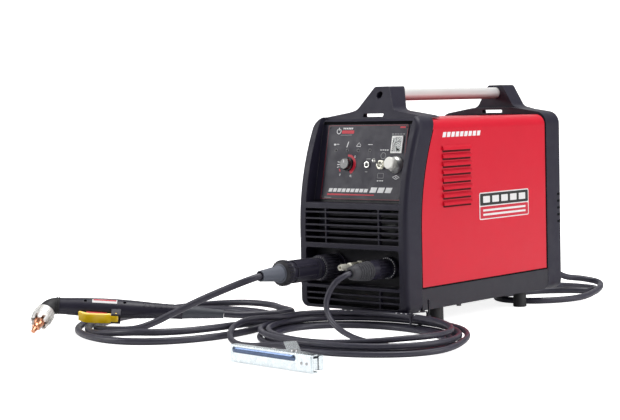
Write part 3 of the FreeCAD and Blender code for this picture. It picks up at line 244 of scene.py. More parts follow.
def shaded_below(name, colour, rough):
    """Drawn tube whose underside, out of the light, is dull and darkened in colour as painted shade."""
    graph = Graph(name)
    drawn = graph.noise(0.25, 4.0, 0.6, (1.0, 0.02, 1.0))
    downwards = graph.times(graph.axes(graph.true_normal())["Z"], -1.0)
    shade = graph.blend(drawn, tinted(colour, 0.95), tinted(colour, 1.04))
    # Painted shade: the colour darkens towards a tenth of itself on faces turned to the floor.
    shade = graph.blend(graph.spread(downwards, 0.0, 0.85, 0.05, 0.75), shade, tinted(colour, 0.10))
    gloss = graph.uneven(graph.noise(22.0, 5.0, 0.65), rough - 0.06, rough + 0.08)
    return graph.close(shade, gloss, Metallic=graph.spread(downwards, 0.55, 0.1, 0.05, 0.6),
                       Normal=graph.bumped(drawn, 0.006, graph.rounded(0.5)[0]))


def powder_coat(name, colour, rough=0.34):
    """Sprayed coat with orange peel."""
    return solid_finish(name, colour, rough, grain=1.6, depth=0.012, mottle=0.03, edge=0.7, worn=0.12,
                        coat=0.1,
                        spread=0.05, sheen=0.3, hidden=Graph.facing_in, dark=(0.012, 0.012, 0.014))


def moulded(name, colour, rough=0.46, grain=0.55, depth=0.035, hidden=None):
    """Spark-eroded plastic with a fine leathery grain."""
    # The near-black colour is painted shade, used where a shade mask is given.
    return solid_finish(name, colour, rough, grain=grain, depth=depth, mottle=0.10, edge=1.8, worn=0.40,
                        sheen=0.34, hidden=hidden, dark=(0.002, 0.002, 0.003))


def glossy(name, colour, rough=0.22):
    return solid_finish(name, colour, rough, grain=2.5, depth=0.006, mottle=0.05, worn=0.10, coat=0.4)


def rubber(name, colour, rough=0.60):
    return solid_finish(name, colour, rough, grain=0.35, depth=0.03, mottle=0.16, edge=0.6, worn=0.15,
                        spread=0.12)


def brushed(name, colour, rough, stretch=(1.0, 1.0, 1.0)):
    """Metal with fine lines, along its length where it is stretched."""
    return solid_finish(name, colour, rough, metal=1.0, grain=0.25, depth=0.006, mottle=0.05, edge=0.4,
                        worn=0.30, stretch=stretch)


def polished(name, colour, rough):
    return solid_finish(name, colour, rough, metal=1.0, grain=0.9, depth=0.003, mottle=0.06, edge=0.3,
                        worn=0.1, spread=0.05)


def plated(name, colour):
    """Dull nickel that takes less from its surroundings than a polished plate."""
    return solid_finish(name, colour, 0.34, metal=0.45, grain=0.5, depth=0.008, mottle=0.05, edge=0.4,
                        worn=0.10)


def zinc(name, colour):
    """Bright zinc plate with faint spangles and handling scratches."""
    graph = Graph(name)
    normal, edges = graph.rounded(0.4)
    scratch = graph.noise(0.5, 5.0, 0.7, (1.0, 0.08, 1.0))
    shade = graph.blend(graph.cells(5.0)["Color"], tinted(colour, 0.86), tinted(colour, 1.08))
    # Painted highlight: edges lightened towards near white.
    shade = graph.blend(graph.times(edges, 0.5), shade, (0.95, 0.96, 0.98))
    return graph.close(shade, graph.uneven(scratch, 0.16, 0.36), Metallic=1.0,
                       Normal=graph.bumped(scratch, 0.008, normal))


def copper(name, colour):
    """Bare copper with heat tint."""
    graph = Graph(name)
    normal, edges = graph.rounded(0.4)
    turned_lines = graph.noise(0.3, 3.0, 0.5)
    shade = graph.blend(graph.noise(8.0, 4.0, 0.6), tinted(colour, 0.72), tinted(colour, 1.1))
    # Painted highlight: edges lightened towards pale copper.
    shade = graph.blend(graph.times(edges, 0.6), shade, (1.0, 0.72, 0.52))
    return graph.close(shade, graph.uneven(turned_lines, 0.2, 0.4), Metallic=1.0,
                       Normal=graph.bumped(turned_lines, 0.006, normal))


def jacket(name, colour, rough=0.42):
    """Extruded cable sheath: slight lengthways ripple, handling marks and floor dust."""
    graph = Graph(name)
    ripple = graph.noise(9.0, 3.0, 0.5)
    grain = graph.noise(0.5, 4.0, 0.6)
    dust = graph.spread(graph.noise(30.0, 5.0, 0.7), 0.0, 0.35, 0.45, 0.8)
    shade = graph.blend(ripple, tinted(colour, 0.8), tinted(colour, 1.2))
    shade = graph.blend(dust, shade, tinted(colour, 1.7))
    gloss = graph.uneven(graph.noise(16.0, 4.0, 0.6), rough - 0.1, rough + 0.12)
    height = graph.math("ADD", ripple, graph.times(grain, 0.15))
    normal = graph.wire(graph.add("ShaderNodeBump"), Height=height, Distance=0.25 * MM)
    return graph.close(shade, gloss, Normal=normal)


def clear(name, colour):
    graph = Graph(name)
    smear = graph.noise(6.0, 4.0, 0.6)
    return graph.close(colour, graph.uneven(smear, 0.02, 0.10), Transmission_Weight=1.0, IOR=1.45,
                       Normal=graph.bumped(smear, 0.004, graph.rounded(0.2)[0]))


def two_tone(name, near, far, split_y, rough=0.52):
    """Rubber that changes colour where the clamp nut meets the bend protector."""
    graph = Graph(name)
    past = graph.math("LESS_THAN", graph.axes(graph.place)["Y"], split_y * MM)
    grain = graph.noise(0.5, 4.0, 0.6)
    normal, edges = graph.rounded(0.6)
    shade = graph.blend(past, near, far)
    # Painted highlight: edges lightened towards grey.
    shade = graph.blend(graph.times(edges, 0.5), shade, (0.10, 0.10, 0.11))
    gloss = graph.uneven(graph.noise(9.0, 4.0, 0.6), rough - 0.1, rough + 0.1)
    return graph.close(shade, gloss, Normal=graph.bumped(grain, 0.03, normal))


def ink(name, colour, rough=0.45):
    """Screen print: slightly uneven coverage with a matt edge."""
    graph = Graph(name)
    cover = graph.noise(0.6, 5.0, 0.7)
    shade = graph.blend(graph.spread(cover, 0.0, 0.5, 0.45, 0.8), colour, tinted(colour, 0.72))
    return graph.close(shade, graph.uneven(cover, rough - 0.06, rough + 0.10))


RED = (0.66, 0.006, 0.027)
BLACK = (0.0150, 0.0130, 0.0280)
RECIPES = {
    "cover_red": (powder_coat, RED),
    "deep_red": (partial(solid_finish, edge=0.05, worn=0.0, sheen=0.2), (0.07, 0.001, 0.003), 0.6),
    "pan_grey": (powder_coat, (0.020, 0.019, 0.029), 0.42),
    "bezel_black": (moulded, BLACK),
    "bezel_front": (partial(moulded, hidden=Graph.in_openings), BLACK),
    "panel_black": (moulded, (0.0130, 0.0108, 0.025), 0.36, 0.9, 0.012),
    "gap_black": (partial(solid_finish, edge=0.05, worn=0.0, sheen=0.1), (0.002, 0.002, 0.003), 0.85),
    "gloss_black": (glossy, (0.012, 0.012, 0.014)),
    "fitting_black": (moulded, (0.020, 0.018, 0.032), 0.34, 0.8, 0.02),
    "rubber_black": (rubber, (0.020, 0.020, 0.023)),
    "rubber_grey": (rubber, (0.055, 0.060, 0.075), 0.55),
    "boot_grey": (rubber, (0.040, 0.040, 0.048), 0.55),
    "boot_two_tone": (two_tone, (0.016, 0.015, 0.020), (0.105, 0.115, 0.145), TORCH_BOOT_SPLIT),
    "sheath": (jacket, (0.032, 0.030, 0.047)),
    "tube_aluminium": (shaded_below, (0.80, 0.79, 0.78), 0.45),
    "heatsink_aluminium": (brushed, (0.80, 0.80, 0.81), 0.34, (1.0, 0.02, 1.0)),
    "chrome": (polished, (0.92, 0.92, 0.90), 0.20),
    "satin_chrome": (polished, (0.92, 0.93, 0.90), 0.38),
    "satin_nickel": (brushed, (0.84, 0.83, 0.81), 0.46),
    "nickel": (plated, (0.97, 0.94, 0.82)),
    "steel": (brushed, (0.55, 0.55, 0.56), 0.32),
    "black_steel": (brushed, (0.10, 0.10, 0.105), 0.38),
    "zinc": (zinc, (0.80, 0.87, 0.90)),
    "zinc_blue": (zinc, (0.11, 0.15, 0.24)),
    "copper": (copper, (0.86, 0.40, 0.24)),
    "yellow": (glossy, (1.0, 0.64, 0.004), 0.30),
    "trigger_red": (glossy, (0.72, 0.030, 0.015), 0.38),
    "cream": (glossy, (0.88, 0.87, 0.82), 0.32),
    "white_plastic": (glossy, (0.88, 0.88, 0.87), 0.4),
    "lens": (clear, (0.96, 0.98, 0.98)),
    "smoke": (glossy, (0.035, 0.035, 0.040), 0.18),
    "board_green": (glossy, (0.02, 0.12, 0.05), 0.4),
    "winding": (copper, (0.60, 0.28, 0.12)),
    "white_ink": (ink, (0.86, 0.86, 0.87)),
    "grey_ink": (ink, (0.28, 0.28, 0.29)),
    "red_ink": (ink, (0.60, 0.010, 0.035)),
    "dark_red_ink": (ink, (0.20, 0.008, 0.020)),
    "black_ink": (ink, (0.012, 0.012, 0.012)),
    "label_white": (ink, (0.80, 0.79, 0.79), 0.5),
}
FINISH = {name: recipe[0](name, *recipe[1:]) for name, recipe in RECIPES.items()}

# The CAD nodes that take each finish.
NODES_OF = {
    "cover_red": ["cover"],
    "pan_grey": ["base_pan", "socket_plate"],
    "bezel_front": ["front_bezel"],
    "bezel_black": ["rear_bezel", "fan_frame"],
    "tube_aluminium": ["handle_tube"],
    "black_steel": ["handle_screws", "case_screws", "torch_screws"],
    "rubber_black": ["feet", "mains_plug", "torch_head"],
    "steel": ["foot_screws", "potentiometer", "regulator_spindle", "compressor", "compressor_shaft",
              "clamp_pivot"],
    "panel_black": ["control_panel"],
    "gloss_black": ["current_knob", "push_button", "switch_body", "switch_knob", "fan_rotor"],
    "chrome": ["button_ring", "toggle_lever"],
    "nickel": ["toggle_body", "air_nipple"],
    "white_plastic": ["gauge_case"],
    "lens": ["gauge_lens"],
    "black_ink": ["gauge_needle"],
    "satin_chrome": ["regulator_body"],
    "cream": ["regulator_knob"],
    "smoke": ["status_leds"],
    "fitting_black": ["torch_socket", "torch_plug", "coupling_ring", "work_socket", "work_plug",
                      "cable_tie", "cable_gland", "torch_handle_left", "torch_handle_right"],
    "boot_two_tone": ["torch_boot"],
    "sheath": ["torch_lead", "work_lead", "mains_cable"],
    "boot_grey": ["work_boot"],
    "winding": ["transformer"],
    "heatsink_aluminium": ["heatsink"],
    "board_green": ["power_board"],
    "satin_nickel": ["shield_cup"],
    "copper": ["torch_nozzle", "clamp_contact"],
    "trigger_red": ["torch_trigger"],
    "yellow": ["safety_lever"],
    "rubber_grey": ["torch_sleeve"],
    "zinc": ["clamp_arm", "clamp_jaw"],
}


def dress_cad_nodes():
    for finish, nodes in NODES_OF.items():
        for node in nodes:
            slots = NODES[node].data.materials
            slots.clear()
            slots.append(FINISH[finish])


# ---------------------------------------------------------------- mesh making

def piece(name, points, faces, finish, body, smooth=True):
    """Mesh from points in millimetres that rides on a CAD body."""
    mesh = bpy.data.meshes.new(name)
    mesh.from_pydata([Vector(p) * MM for p in points], [], faces)
    form = bmesh.new()
    form.from_mesh(mesh)
    bmesh.ops.recalc_face_normals(form, faces=form.faces)
    form.to_mesh(mesh)
    form.free()
    for face in mesh.polygons:
        face.use_smooth = smooth
    if smooth:
        mesh.set_sharp_from_angle(angle=math.radians(38.0))
    mesh.materials.append(FINISH[finish])
    shown = bpy.data.objects.new(name, mesh)
    bpy.context.scene.collection.objects.link(shown)
    if body:
        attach(shown, body)
    return shown


def through(points, step):
    """Even points along a smooth curve through the given ones."""
    points = [Vector(p) for p in points]
    ends = [points[0] * 2 - points[1], *points, points[-1] * 2 - points[-2]]
    dense = []
    for a, b, c, d in zip(ends, ends[1:], ends[2:], ends[3:]):
        parts = max(2, int((c - b).length / step))
        ab = max((b - a).length ** 0.5, 1e-6)
        bc = max((c - b).length ** 0.5, 1e-6)
        cd = max((d - c).length ** 0.5, 1e-6)
        leave = ((b - a) / ab - (c - a) / (ab + bc) + (c - b) / bc) * bc
        arrive = ((c - b) / bc - (d - b) / (bc + cd) + (d - c) / cd) * bc
        for i in range(parts):
            t = i / parts
            dense.append(b * (2 * t ** 3 - 3 * t ** 2 + 1) + leave * (t ** 3 - 2 * t ** 2 + t)
                         + c * (3 * t ** 2 - 2 * t ** 3) + arrive * (t ** 3 - t ** 2))
    return dense + [points[-1]]


def tube_mesh(path, radii, sides):
    """Points and faces of a capped round tube whose radius may change along its path."""
    points = []
    faces = []
    heading = (path[1] - path[0]).normalized()
    across = heading.orthogonal().normalized()
    count = len(path)
    for i in range(count):
        following = path[min(i + 1, count - 1)] - path[max(i - 1, 0)]
        following.normalize()
        across = (heading.rotation_difference(following) @ across).normalized()
        heading = following
        up = heading.cross(across)
        radius = radii[i] if isinstance(radii, list) else radii
        for k in range(sides):
            turn = math.tau * k / sides
            points.append(path[i] + (across * math.cos(turn) + up * math.sin(turn)) * radius)
    for i in range(count - 1):
        for k in range(sides):
            a = i * sides + k
            b = i * sides + (k + 1) % sides
            faces.append((a, b, b + sides, a + sides))
    faces.append(tuple(range(sides)))
    faces.append(tuple(range((count - 1) * sides, count * sides)))
    return points, faces


def tube(name, path, radii, finish, body, sides=20):
    return piece(name, *tube_mesh(path, radii, sides), finish, body)


def joined(meshes):
    points = []
    faces = []
    for some_points, some_faces in meshes:
        base = len(points)
        points += some_points
        faces += [tuple(base + i for i in face) for face in some_faces]
    return points, faces


def extruded(loop, low, high, place):
    """Closed prism over a loop of (u, v), with place(u, v, w) giving its points."""
    count = len(loop)
    points = [place(u, v, low) for u, v in loop] + [place(u, v, high) for u, v in loop]
    faces = [tuple(range(count)), tuple(range(count, 2 * count))]
    faces += [(i, (i + 1) % count, (i + 1) % count + count, i + count) for i in range(count)]
    return points, faces


def band(inner, outer, low, high, place):
    """Closed prism between two loops of the same number of (u, v) points."""
    count = len(inner)
    points = [place(u, v, w) for loop in (inner, outer) for w in (low, high) for u, v in loop]
    faces = []
    for i in range(count):
        k = (i + 1) % count
        faces.append((i, k, k + count, i + count))
        faces.append((i + 2 * count, k + 2 * count, k + 3 * count, i + 3 * count))
        faces.append((i, k, k + 2 * count, i + 2 * count))
        faces.append((i + count, k + count, k + 3 * count, i + 3 * count))
    return points, faces


def rectangle(u, v, wide, high, radius=0.0, steps=4):
    """Loop of a rounded rectangle about (u, v)."""
    if radius <= 0:
        return [(u - wide / 2, v - high / 2), (u + wide / 2, v - high / 2), (u + wide / 2, v + high / 2),
                (u - wide / 2, v + high / 2)]
    loop = []
    for turn, su, sv in ((180, -1, -1), (270, 1, -1), (0, 1, 1), (90, -1, 1)):
        for i in range(steps + 1):
            a = math.radians(turn + 90.0 * i / steps)
            loop.append((u + su * (wide / 2 - radius) + radius * math.cos(a),
                         v + sv * (high / 2 - radius) + radius * math.sin(a)))
    return loop


def circle(u, v, radius, steps=32):
    return [(u + radius * math.cos(math.tau * i / steps), v + radius * math.sin(math.tau * i / steps))
            for i in range(steps)]


def arc(u, v, inner, outer, start, end, steps=28):
    """Loop of a curved bar from start to end degrees; inner and outer may be (from, to) pairs."""
    inner = inner if isinstance(inner, tuple) else (inner, inner)
    outer = outer if isinstance(outer, tuple) else (outer, outer)
    forth = []
    back = []
    for i in range(steps + 1):
        share = i / steps
        a = math.radians(start + (end - start) * share)
        r0 = inner[0] + (inner[1] - inner[0]) * share
        r1 = outer[0] + (outer[1] - outer[0]) * share
        forth.append((u + r1 * math.cos(a), v + r1 * math.sin(a)))
        back.append((u + r0 * math.cos(a), v + r0 * math.sin(a)))
    return forth + back[::-1]


def slanted(u, v, wide, high, lean):
    return [(u - wide / 2 - lean / 2, v - high / 2), (u + wide / 2 - lean / 2, v - high / 2),
            (u + wide / 2 + lean / 2, v + high / 2), (u - wide / 2 + lean / 2, v + high / 2)]


def lathed(profile, place, steps=40):
    """Closed solid turned from a closed outline of (along, radius) about the axis of place(along, x, y)."""
    count = len(profile)
    points = []
    faces = []
    for k in range(steps):
        turn = math.tau * k / steps
        points += [place(along, radius * math.cos(turn), radius * math.sin(turn)) for along,
                   radius in profile]
    for k in range(steps):
        a = k * count
        b = ((k + 1) % steps) * count
        for i in range(count):
            j = (i + 1) % count
            faces.append((a + i, a + j, b + j, b + i))
    return points, faces


# ---------------------------------------------------------------- places on the object

PANEL_UP = Vector((0.0, math.sin(PANEL_LEAN), math.cos(PANEL_LEAN)))
PANEL_OUT = Vector((0.0, -math.cos(PANEL_LEAN), math.sin(PANEL_LEAN)))


def on_panel(x, z, out=0.0):
    """Point on the leaning panel, x across and z above the floor, raised outwards."""
    foot = Vector((x, PANEL_FOOT[0] + (z - PANEL_FOOT[1]) * math.tan(PANEL_LEAN), z))
    return foot + PANEL_OUT * out


def about(x, z):
    """Maker of points near (x, z) on the panel, drawn in the panel's own plane."""
    def place(u, v, out):
        return on_panel(x, z, out) + Vector((u, 0.0, 0.0)) + PANEL_UP * v
    return place


TORCH_ALONG = (SLEEVE_END - ELBOW).normalized()
TORCH_NOZZLE = (NOZZLE_TIP - ELBOW).normalized()
TORCH_UP = -(TORCH_NOZZLE - TORCH_ALONG * TORCH_NOZZLE.dot(TORCH_ALONG)).normalized()
TORCH_SIDE = TORCH_UP.cross(TORCH_ALONG)


def on_torch(x, y, z):
    return ELBOW + TORCH_ALONG * x + TORCH_SIDE * y + TORCH_UP * z


def on_clamp(x, y, z):
    """Point given along and across the splayed handle of the clamp's moving arm."""
    turn = math.pi - CLAMP_SPLAY
    local = Vector((-x * math.cos(turn) + y * math.sin(turn), -x * math.sin(turn) - y * math.cos(turn), z))
    return CLAMP_PIVOT + Matrix.Rotation(CLAMP_HEADING, 3, "Z") @ local


# ---------------------------------------------------------------- cables

def oval(centre, long_half, short_half, heading, angle):
    """Point on a flat oval: the angle runs anticlockwise from the oval's long axis."""
    turn = math.radians(heading)
    u = long_half * math.cos(math.radians(angle))
    v = short_half * math.sin(math.radians(angle))
    return (centre[0] + u * math.cos(turn) - v * math.sin(turn),
            centre[1] + u * math.sin(turn) + v * math.cos(turn))


def ease(value, start, end):
    t = min(1.0, max(0.0, (value - start) / (end - start)))
    return t * t * (3 - 2 * t)


def pressed_left(x):
    """The right hand side of the torch coil gives way to the work coil."""
    return x if x < -200.0 else -200.0 + 0.8 * (x + 200.0)


def torch_coil():
    """Two and a half loose turns on the floor, wound clockwise and outwards."""
    points = []
    first = -128.0
    last = -1018.0
    count = 50
    for i in range(count + 1):
        angle = first + (last - first) * i / count
        turns = (first - angle) / 360.0
        inset = -32.0 + 16.0 * turns
        x, y = oval((-222.0, -383.0), 208.0 + inset, 170.0 + inset, 130.0, angle - 130.0)
        x = pressed_left(x)
        stacked = ease(turns, 0.5, 0.68) * (1 - ease(turns, 0.84, 0.98))
        lifted = ease(turns, 2.2, 2.4)
        points.append((x, y, TORCH_CABLE_R + 0.1 + 11.6 * max(stacked, lifted)))
    return points


def work_coil():
    """Five and a half turns in three layers, wound anticlockwise."""
    points = []
    first = 10.0
    turns_in_all = 5.52
    count = 83
    for i in range(count + 1):
        turns = turns_in_all * i / count
        inset = -36.0 + 11.5 * min(turns, 3.0)
        inset -= 12.0 * max(0.0, min(turns - 3.1, 1.7))
        inset += 14.0 * max(0.0, turns - 4.95)
        layer_two = ease(turns, 2.95, 3.12)
        layer_three = ease(turns, 4.75, 4.95)
        x, y = oval((118.0, -346.0), 188.0 + inset, 143.0 + inset - 10.0 * layer_three, -14.5,
                    first + 360.0 * turns)
        points.append((x, y, WORK_CABLE_R + 0.1 + 10.4 * layer_two + 9.3 * layer_three))
    return points


def torch_lead():
    """The torch's lead, as the run that stays with the case and the tail that follows the torch."""
    exit_y = RECESS_FLOOR - 168.0
    fall = [(TORCH_X, exit_y, TORCH_Z), (TORCH_X, exit_y - 9, TORCH_Z), (-56, exit_y - 19, 91.5),
            (-68, -400, 85), (-104, -414, 70), (-144, -430, 52), (-181, -447, 33), (-215, -462, 16),
            (-240, -474, 7.5), (-266, -487, 5.6)]
    coil = torch_coil()
    hook = [(-121.5, -234, 17.6), (-109, -250, 18.2), (-113, -271, 18.4), (-127, -293, 18.4)]
    hook += [SLEEVE_END + TORCH_ALONG * reach for reach in (24.0, 8.0, 0.4)]
    path = through(fall + coil + hook, CABLE_STEP)
    return split_cable(path, Vector(hook[0]))


def work_lead():
    """The clamp's lead, as the run that stays with the case and the tail that follows the clamp."""
    exit_y = RECESS_FLOOR - 90.0
    fall = [(WORK_X, exit_y, WORK_Z), (WORK_X, exit_y - 8, WORK_Z), (56.5, exit_y - 18, 92.5),
            (47, -316, 82), (38, -322, 66), (36, -327, 50), (46, -334, 32), (70, -343, 17),
            (108, -356, 7.5), (150, -371, 4.6), (190, -385, 4.5), (228, -394, 4.5), (256, -386, 4.5)]
    ramp = [(-73, -388, 24), (-65, -430, 18), (-30, -474, 9.5), (14, -503, 7), (56, -514, 9), (88, -509, 12)]
    hook = [on_clamp(-132.0, 0.0, 13.0), on_clamp(-113.9, 0.0, 13.0)]
    path = through(fall + work_coil() + ramp + hook, CABLE_STEP)
    return split_cable(path, Vector(ramp[1]))


def mains_lead():
    """Out of the gland, down behind the case and round two flat loops to the plug."""
    low = MAINS_CABLE_R + 0.1
    fall = [(MAINS_X, CASE_REAR - 25, MAINS_Z), (MAINS_X, CASE_REAR - 2, MAINS_Z),
            (MAINS_X, CASE_REAR + 16, MAINS_Z), (69, 262, 77), (60, 282, 62), (50, 300, 44), (58, 322, 31)]
    loops = [(80, 346, 26), (108, 352, 21), (128, 328, 16), (141, 280, 10), (143, 238, 7), (128, 195, 6)]
    loops += [(x, y, low) for x, y in ((95, 160), (48, 148), (8, 172), (-2, 226), (22, 288), (62, 324),
                                       (94, 340), (92, 372), (50, 388), (-8, 384))]
    plug_end = [(-52, 370, 10.0), (-80, 365.3, 17.6), (-90, 365, 18.2), (-95, 365, 18.2)]
    return through(fall + loops + plug_end, CABLE_STEP)


def split_cable(path, place):
    nearest = min(range(len(path)), key=lambda i: (path[i] - place).length)
    return path[:nearest + 1], path[nearest:]


def on_floor(path, radius):
    return [Vector((p.x, p.y, max(p.z, radius + 0.1))) for p in path]


def build_cables():
    coil, tail = torch_lead()
    coil = on_floor(coil, TORCH_CABLE_R)
    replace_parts(tube("torch_lead_coil", coil, TORCH_CABLE_R, "sheath", "case"), "torch_lead")
    loose = tube("torch_lead_tail", tail, TORCH_CABLE_R, "sheath", None)
    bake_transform(loose)
    coil, tail = work_lead()
    coil = on_floor(coil, WORK_CABLE_R)
    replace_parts(tube("work_lead_coil", coil, WORK_CABLE_R, "sheath", "case"), "work_lead")
    tail, at_handle = split_cable(tail, HANDLE_BEND)
    loose = tube("work_lead_tail", tail, WORK_CABLE_R, "sheath", None)
    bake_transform(loose)
    bent = tube("work_lead_end", at_handle, WORK_CABLE_R, "sheath", None)
    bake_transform(bent)
    path = on_floor(mains_lead(), MAINS_CABLE_R)
    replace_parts(tube("mains_cable_run", path, MAINS_CABLE_R, "sheath", "case"), "mains_cable")


# ---------------------------------------------------------------- front panel prints

PRINT = (-0.05, 0.12)


def printed(name, loops, finish, x=0.0, z=CONTROL_Z, body="case", place=None):
    """Raised screen print from loops drawn about (x, z) on the panel."""
    place = place or about(x, z)
    return piece(name, *joined([extruded(loop, *PRINT, place) for loop in loops]), finish, body,
                 smooth=False)


def outlined(name, outer, inner, finish, x, z):
    return piece(name, *band(inner, outer, *PRINT, about(x, z)), finish, "case", smooth=False)


def panel_border():
    middle = (PANEL_LOW + PANEL_HIGH) / 2
    high = (PANEL_HIGH - PANEL_LOW) / math.cos(PANEL_LEAN)
    outlined("panel_border", rectangle(0, 0, 2 * PANEL_HALF - 2.0, high - 2.6, 2.0),
             rectangle(0, 0, 2 * PANEL_HALF - 3.8, high - 4.4, 1.4), "dark_red_ink", 0.0, middle)


def power_mark():
    """Ring broken at the top by a bar, then two plain lines."""
    printed("power_mark", [arc(0, 0, 3.6, 4.8, 120, 420), rectangle(0, 3.6, 1.2, 5.0, 0.5)], "white_ink",
            -60, 312)
    printed("power_line", [rectangle(19.5, -1.2, 26.0, 5.4, 1.4)], "red_ink", -60, 312)
    printed("power_bars", [slanted(10.0 + 3.6 * i, 4.6, 2.4, 2.8, 0.8) for i in range(6)], "white_ink",
            -60, 312)
    printed("power_underline", [rectangle(16.2, -6.4, 24.0, 0.8, 0.3)], "grey_ink", -60, 312)


def light_symbols():
    """Plain pictures over the four lights: plug, air, heat and output."""
    plug = [rectangle(-4.0, 0, 4.0, 3.0, 0.8), rectangle(1.5, 0.5, 8.0, 0.9, 0.3)]
    air = [slanted(0, 0.0, 1.8, 9.0, 2.6)]
    heat = [slanted(-2.6, 0, 0.9, 6.2, 4.6), slanted(2.4, 0.6, 0.9, 5.0, -4.2),
            rectangle(0, -3.2, 8.6, 0.9, 0.3)]
    output = [rectangle(0, 0, 9.6, 0.9, 0.3)]
    for i, (x, marks) in enumerate(zip(LED_X, (plug, air, heat, output))):
        printed("light_symbol_%d" % (i + 1), marks, "white_ink", x, LED_Z + 9.4)
        outlined("light_ring_%d" % (i + 1), circle(0, 0, 2.7), circle(0, 0, 2.3), "grey_ink", x, LED_Z)


def digit_loops(text, high, u, v):
    """Stroke-built digits, so that the dial needs no font."""
    strokes = {"a": (0, 1, 1, 0), "b": (0.5, 0.5, 0, 1), "c": (0.5, -0.5, 0, 1), "d": (0, -1, 1, 0),
               "e": (-0.5, -0.5, 0, 1), "f": (-0.5, 0.5, 0, 1), "g": (0, 0, 1, 0)}
    shapes = {"0": "abcdef", "1": "bc", "2": "abged", "6": "afgecd"}
    wide = high * 0.55
    thick = high * 0.17
    loops = []
    start = u - (len(text) - 1) * high * 0.40
    for i, letter in enumerate(text):
        for key in shapes[letter]:
            x, y, lies, stands = strokes[key]
            loops.append(rectangle(start + i * high * 0.80 + x * wide, v + y * high / 2,
                                   wide * lies + thick, high / 2 * stands + thick, thick * 0.3, 1))
    return loops


def dial_scale():
    printed("dial_band", [arc(0, 0, (13.2, 11.2), (16.6, 17.4), 96, -64, 40)], "red_ink", DIAL_X, CONTROL_Z)
    printed("dial_low_band", [arc(0, 0, 17.2, 19.4, 204, 218, 6)], "red_ink", DIAL_X, CONTROL_Z)
    ticks = []
    for turn in (168, 180, 192):
        ticks.append(arc(0, 0, 18.0 if turn != 180 else 17.0, 22.4, turn - 1.6, turn + 1.6, 3))
    printed("dial_ticks", ticks, "white_ink", DIAL_X, CONTROL_Z)
    numbers = digit_loops("2", 3.0, -14.0, -16.8)
    numbers += digit_loops("10", 3.0, 8.0, -18.6)
    numbers += digit_loops("6", 3.2, 13.6, 13.2)
    printed("dial_numbers", numbers, "white_ink", DIAL_X, CONTROL_Z)


def control_marks():
    """Plain marks round the button, toggle, regulator and gauge."""
    printed("button_mark_high", [rectangle(1.5, 9.6, 8.4, 1.5, 0.5)], "grey_ink", BUTTON_X, CONTROL_Z)
    printed("button_mark_low", [rectangle(-0.5, -11.6, 5.0, 1.5, 0.5)], "grey_ink", BUTTON_X, CONTROL_Z)
    outlined("toggle_ring", circle(2.0, 15.0, 5.4), circle(2.0, 15.0, 4.6), "grey_ink", TOGGLE_X, CONTROL_Z)
    printed("toggle_mark_high", [rectangle(-4.0 + 4.6 * i, 24.2, 3.2, 1.6, 0.5) for i in range(4)],
            "white_ink",
            TOGGLE_X, CONTROL_Z)
    outlined("toggle_square", rectangle(1.0, -17.6, 12.6, 8.6, 1.0), rectangle(1.0, -17.6, 11.2, 7.2, 0.6),
             "grey_ink", TOGGLE_X, CONTROL_Z)
    printed("toggle_mark_low", [rectangle(-3.4 + 4.6 * i, -26.0, 3.2, 1.6, 0.5) for i in range(3)],
            "white_ink",
            TOGGLE_X, CONTROL_Z)
    diamond = [(-7.2, 0), (0, -3.6), (7.2, 0), (0, 3.6)]
    outlined("regulator_diamond", diamond, [(u * 0.80, v * 0.74) for u, v in diamond], "white_ink",
             REGULATOR_X + 2.6, CONTROL_Z - 19.6)
    printed("regulator_dot", [circle(0, 0, 1.1, 12)], "white_ink", REGULATOR_X + 2.6, CONTROL_Z - 19.6)
    printed("gauge_mark", [rectangle(-11.0 + 5.6 * i, 17.4, 4.0, 1.6, 0.5) for i in range(5)], "grey_ink",
            GAUGE_X - 1.0, GAUGE_Z)
    printed("corner_mark", [rectangle(0, 0, 11.0, 2.6, 0.8)], "red_ink", 72.5, 317.8)
    printed("foot_mark", [rectangle(0, 0, 15.0, 1.1, 0.4)], "grey_ink", -67.0, 204.6)


def speed_stripes():
    """Long row of slanted bars, then a group of taller ones, over a tapering red line."""
    low = [slanted(-63.0 + 9.3 * i, 0.0, 7.4, 5.8, 2.0) for i in range(9)]
    tall = [slanted(27.0 + 15.4 * i, 1.2, 12.4, 8.6, 3.0) for i in range(3)]
    printed("speed_stripes", low, "white_ink", 0.0, 216.6)
    printed("speed_stripes_tall", tall, "white_ink", 0.0, 216.6)
    printed("speed_line", [[(-69.5, -8.6), (29.0, -8.0), (29.6, -6.4), (-68.6, -5.6)]], "red_ink", 0.0,
            216.6)


def gauge_face():
    """Scale on the gauge's floor, under its lens."""
    floor = -3.2

    def place(u, v, out):
        return about(GAUGE_X, GAUGE_Z)(u, v, out + floor)
    marks = [arc(0, -7.5, 13.0, 13.9, 28, 152)]
    for i in range(5):
        turn = 28 + 124 * i / 4
        marks.append(arc(0, -7.5, 13.4, 16.0, turn - 1.6, turn + 1.6, 2))
    printed("gauge_scale", marks, "black_ink", place=place)
    printed("gauge_hub", [circle(0, -7.5, 2.2, 16)], "grey_ink", place=place)


def knob_pointer():
    """White line on the knob's cap."""
    turn = math.radians(110.0)
    along = Vector((math.cos(turn), math.sin(turn)))
    across = Vector((-along.y, along.x))
    loop = [tuple(along * a + across * b) for a, b in ((2.0, -0.7), (6.8, -0.7), (6.8, 0.7), (2.0, 0.7))]
    place = about(DIAL_X, CONTROL_Z)
    raised = 10.0

    def on_cap(u, v, out):
        return place(u, v, out + raised)
    printed("knob_pointer", [loop], "white_ink", body="dial", place=on_cap)


def panel_gap():
    """Painted shadow: a dark strip between the panel's top edge and the brow over it, running on past its
    two sides.
    """
    loop = rectangle(0.0, 0.0, 2 * PANEL_HALF + 20.0, 4.6)
    piece("panel_gap", *extruded(loop, -1.15, 0.25, about(0.0, PANEL_HIGH + 2.6)), "gap_black", "case",
          smooth=False)


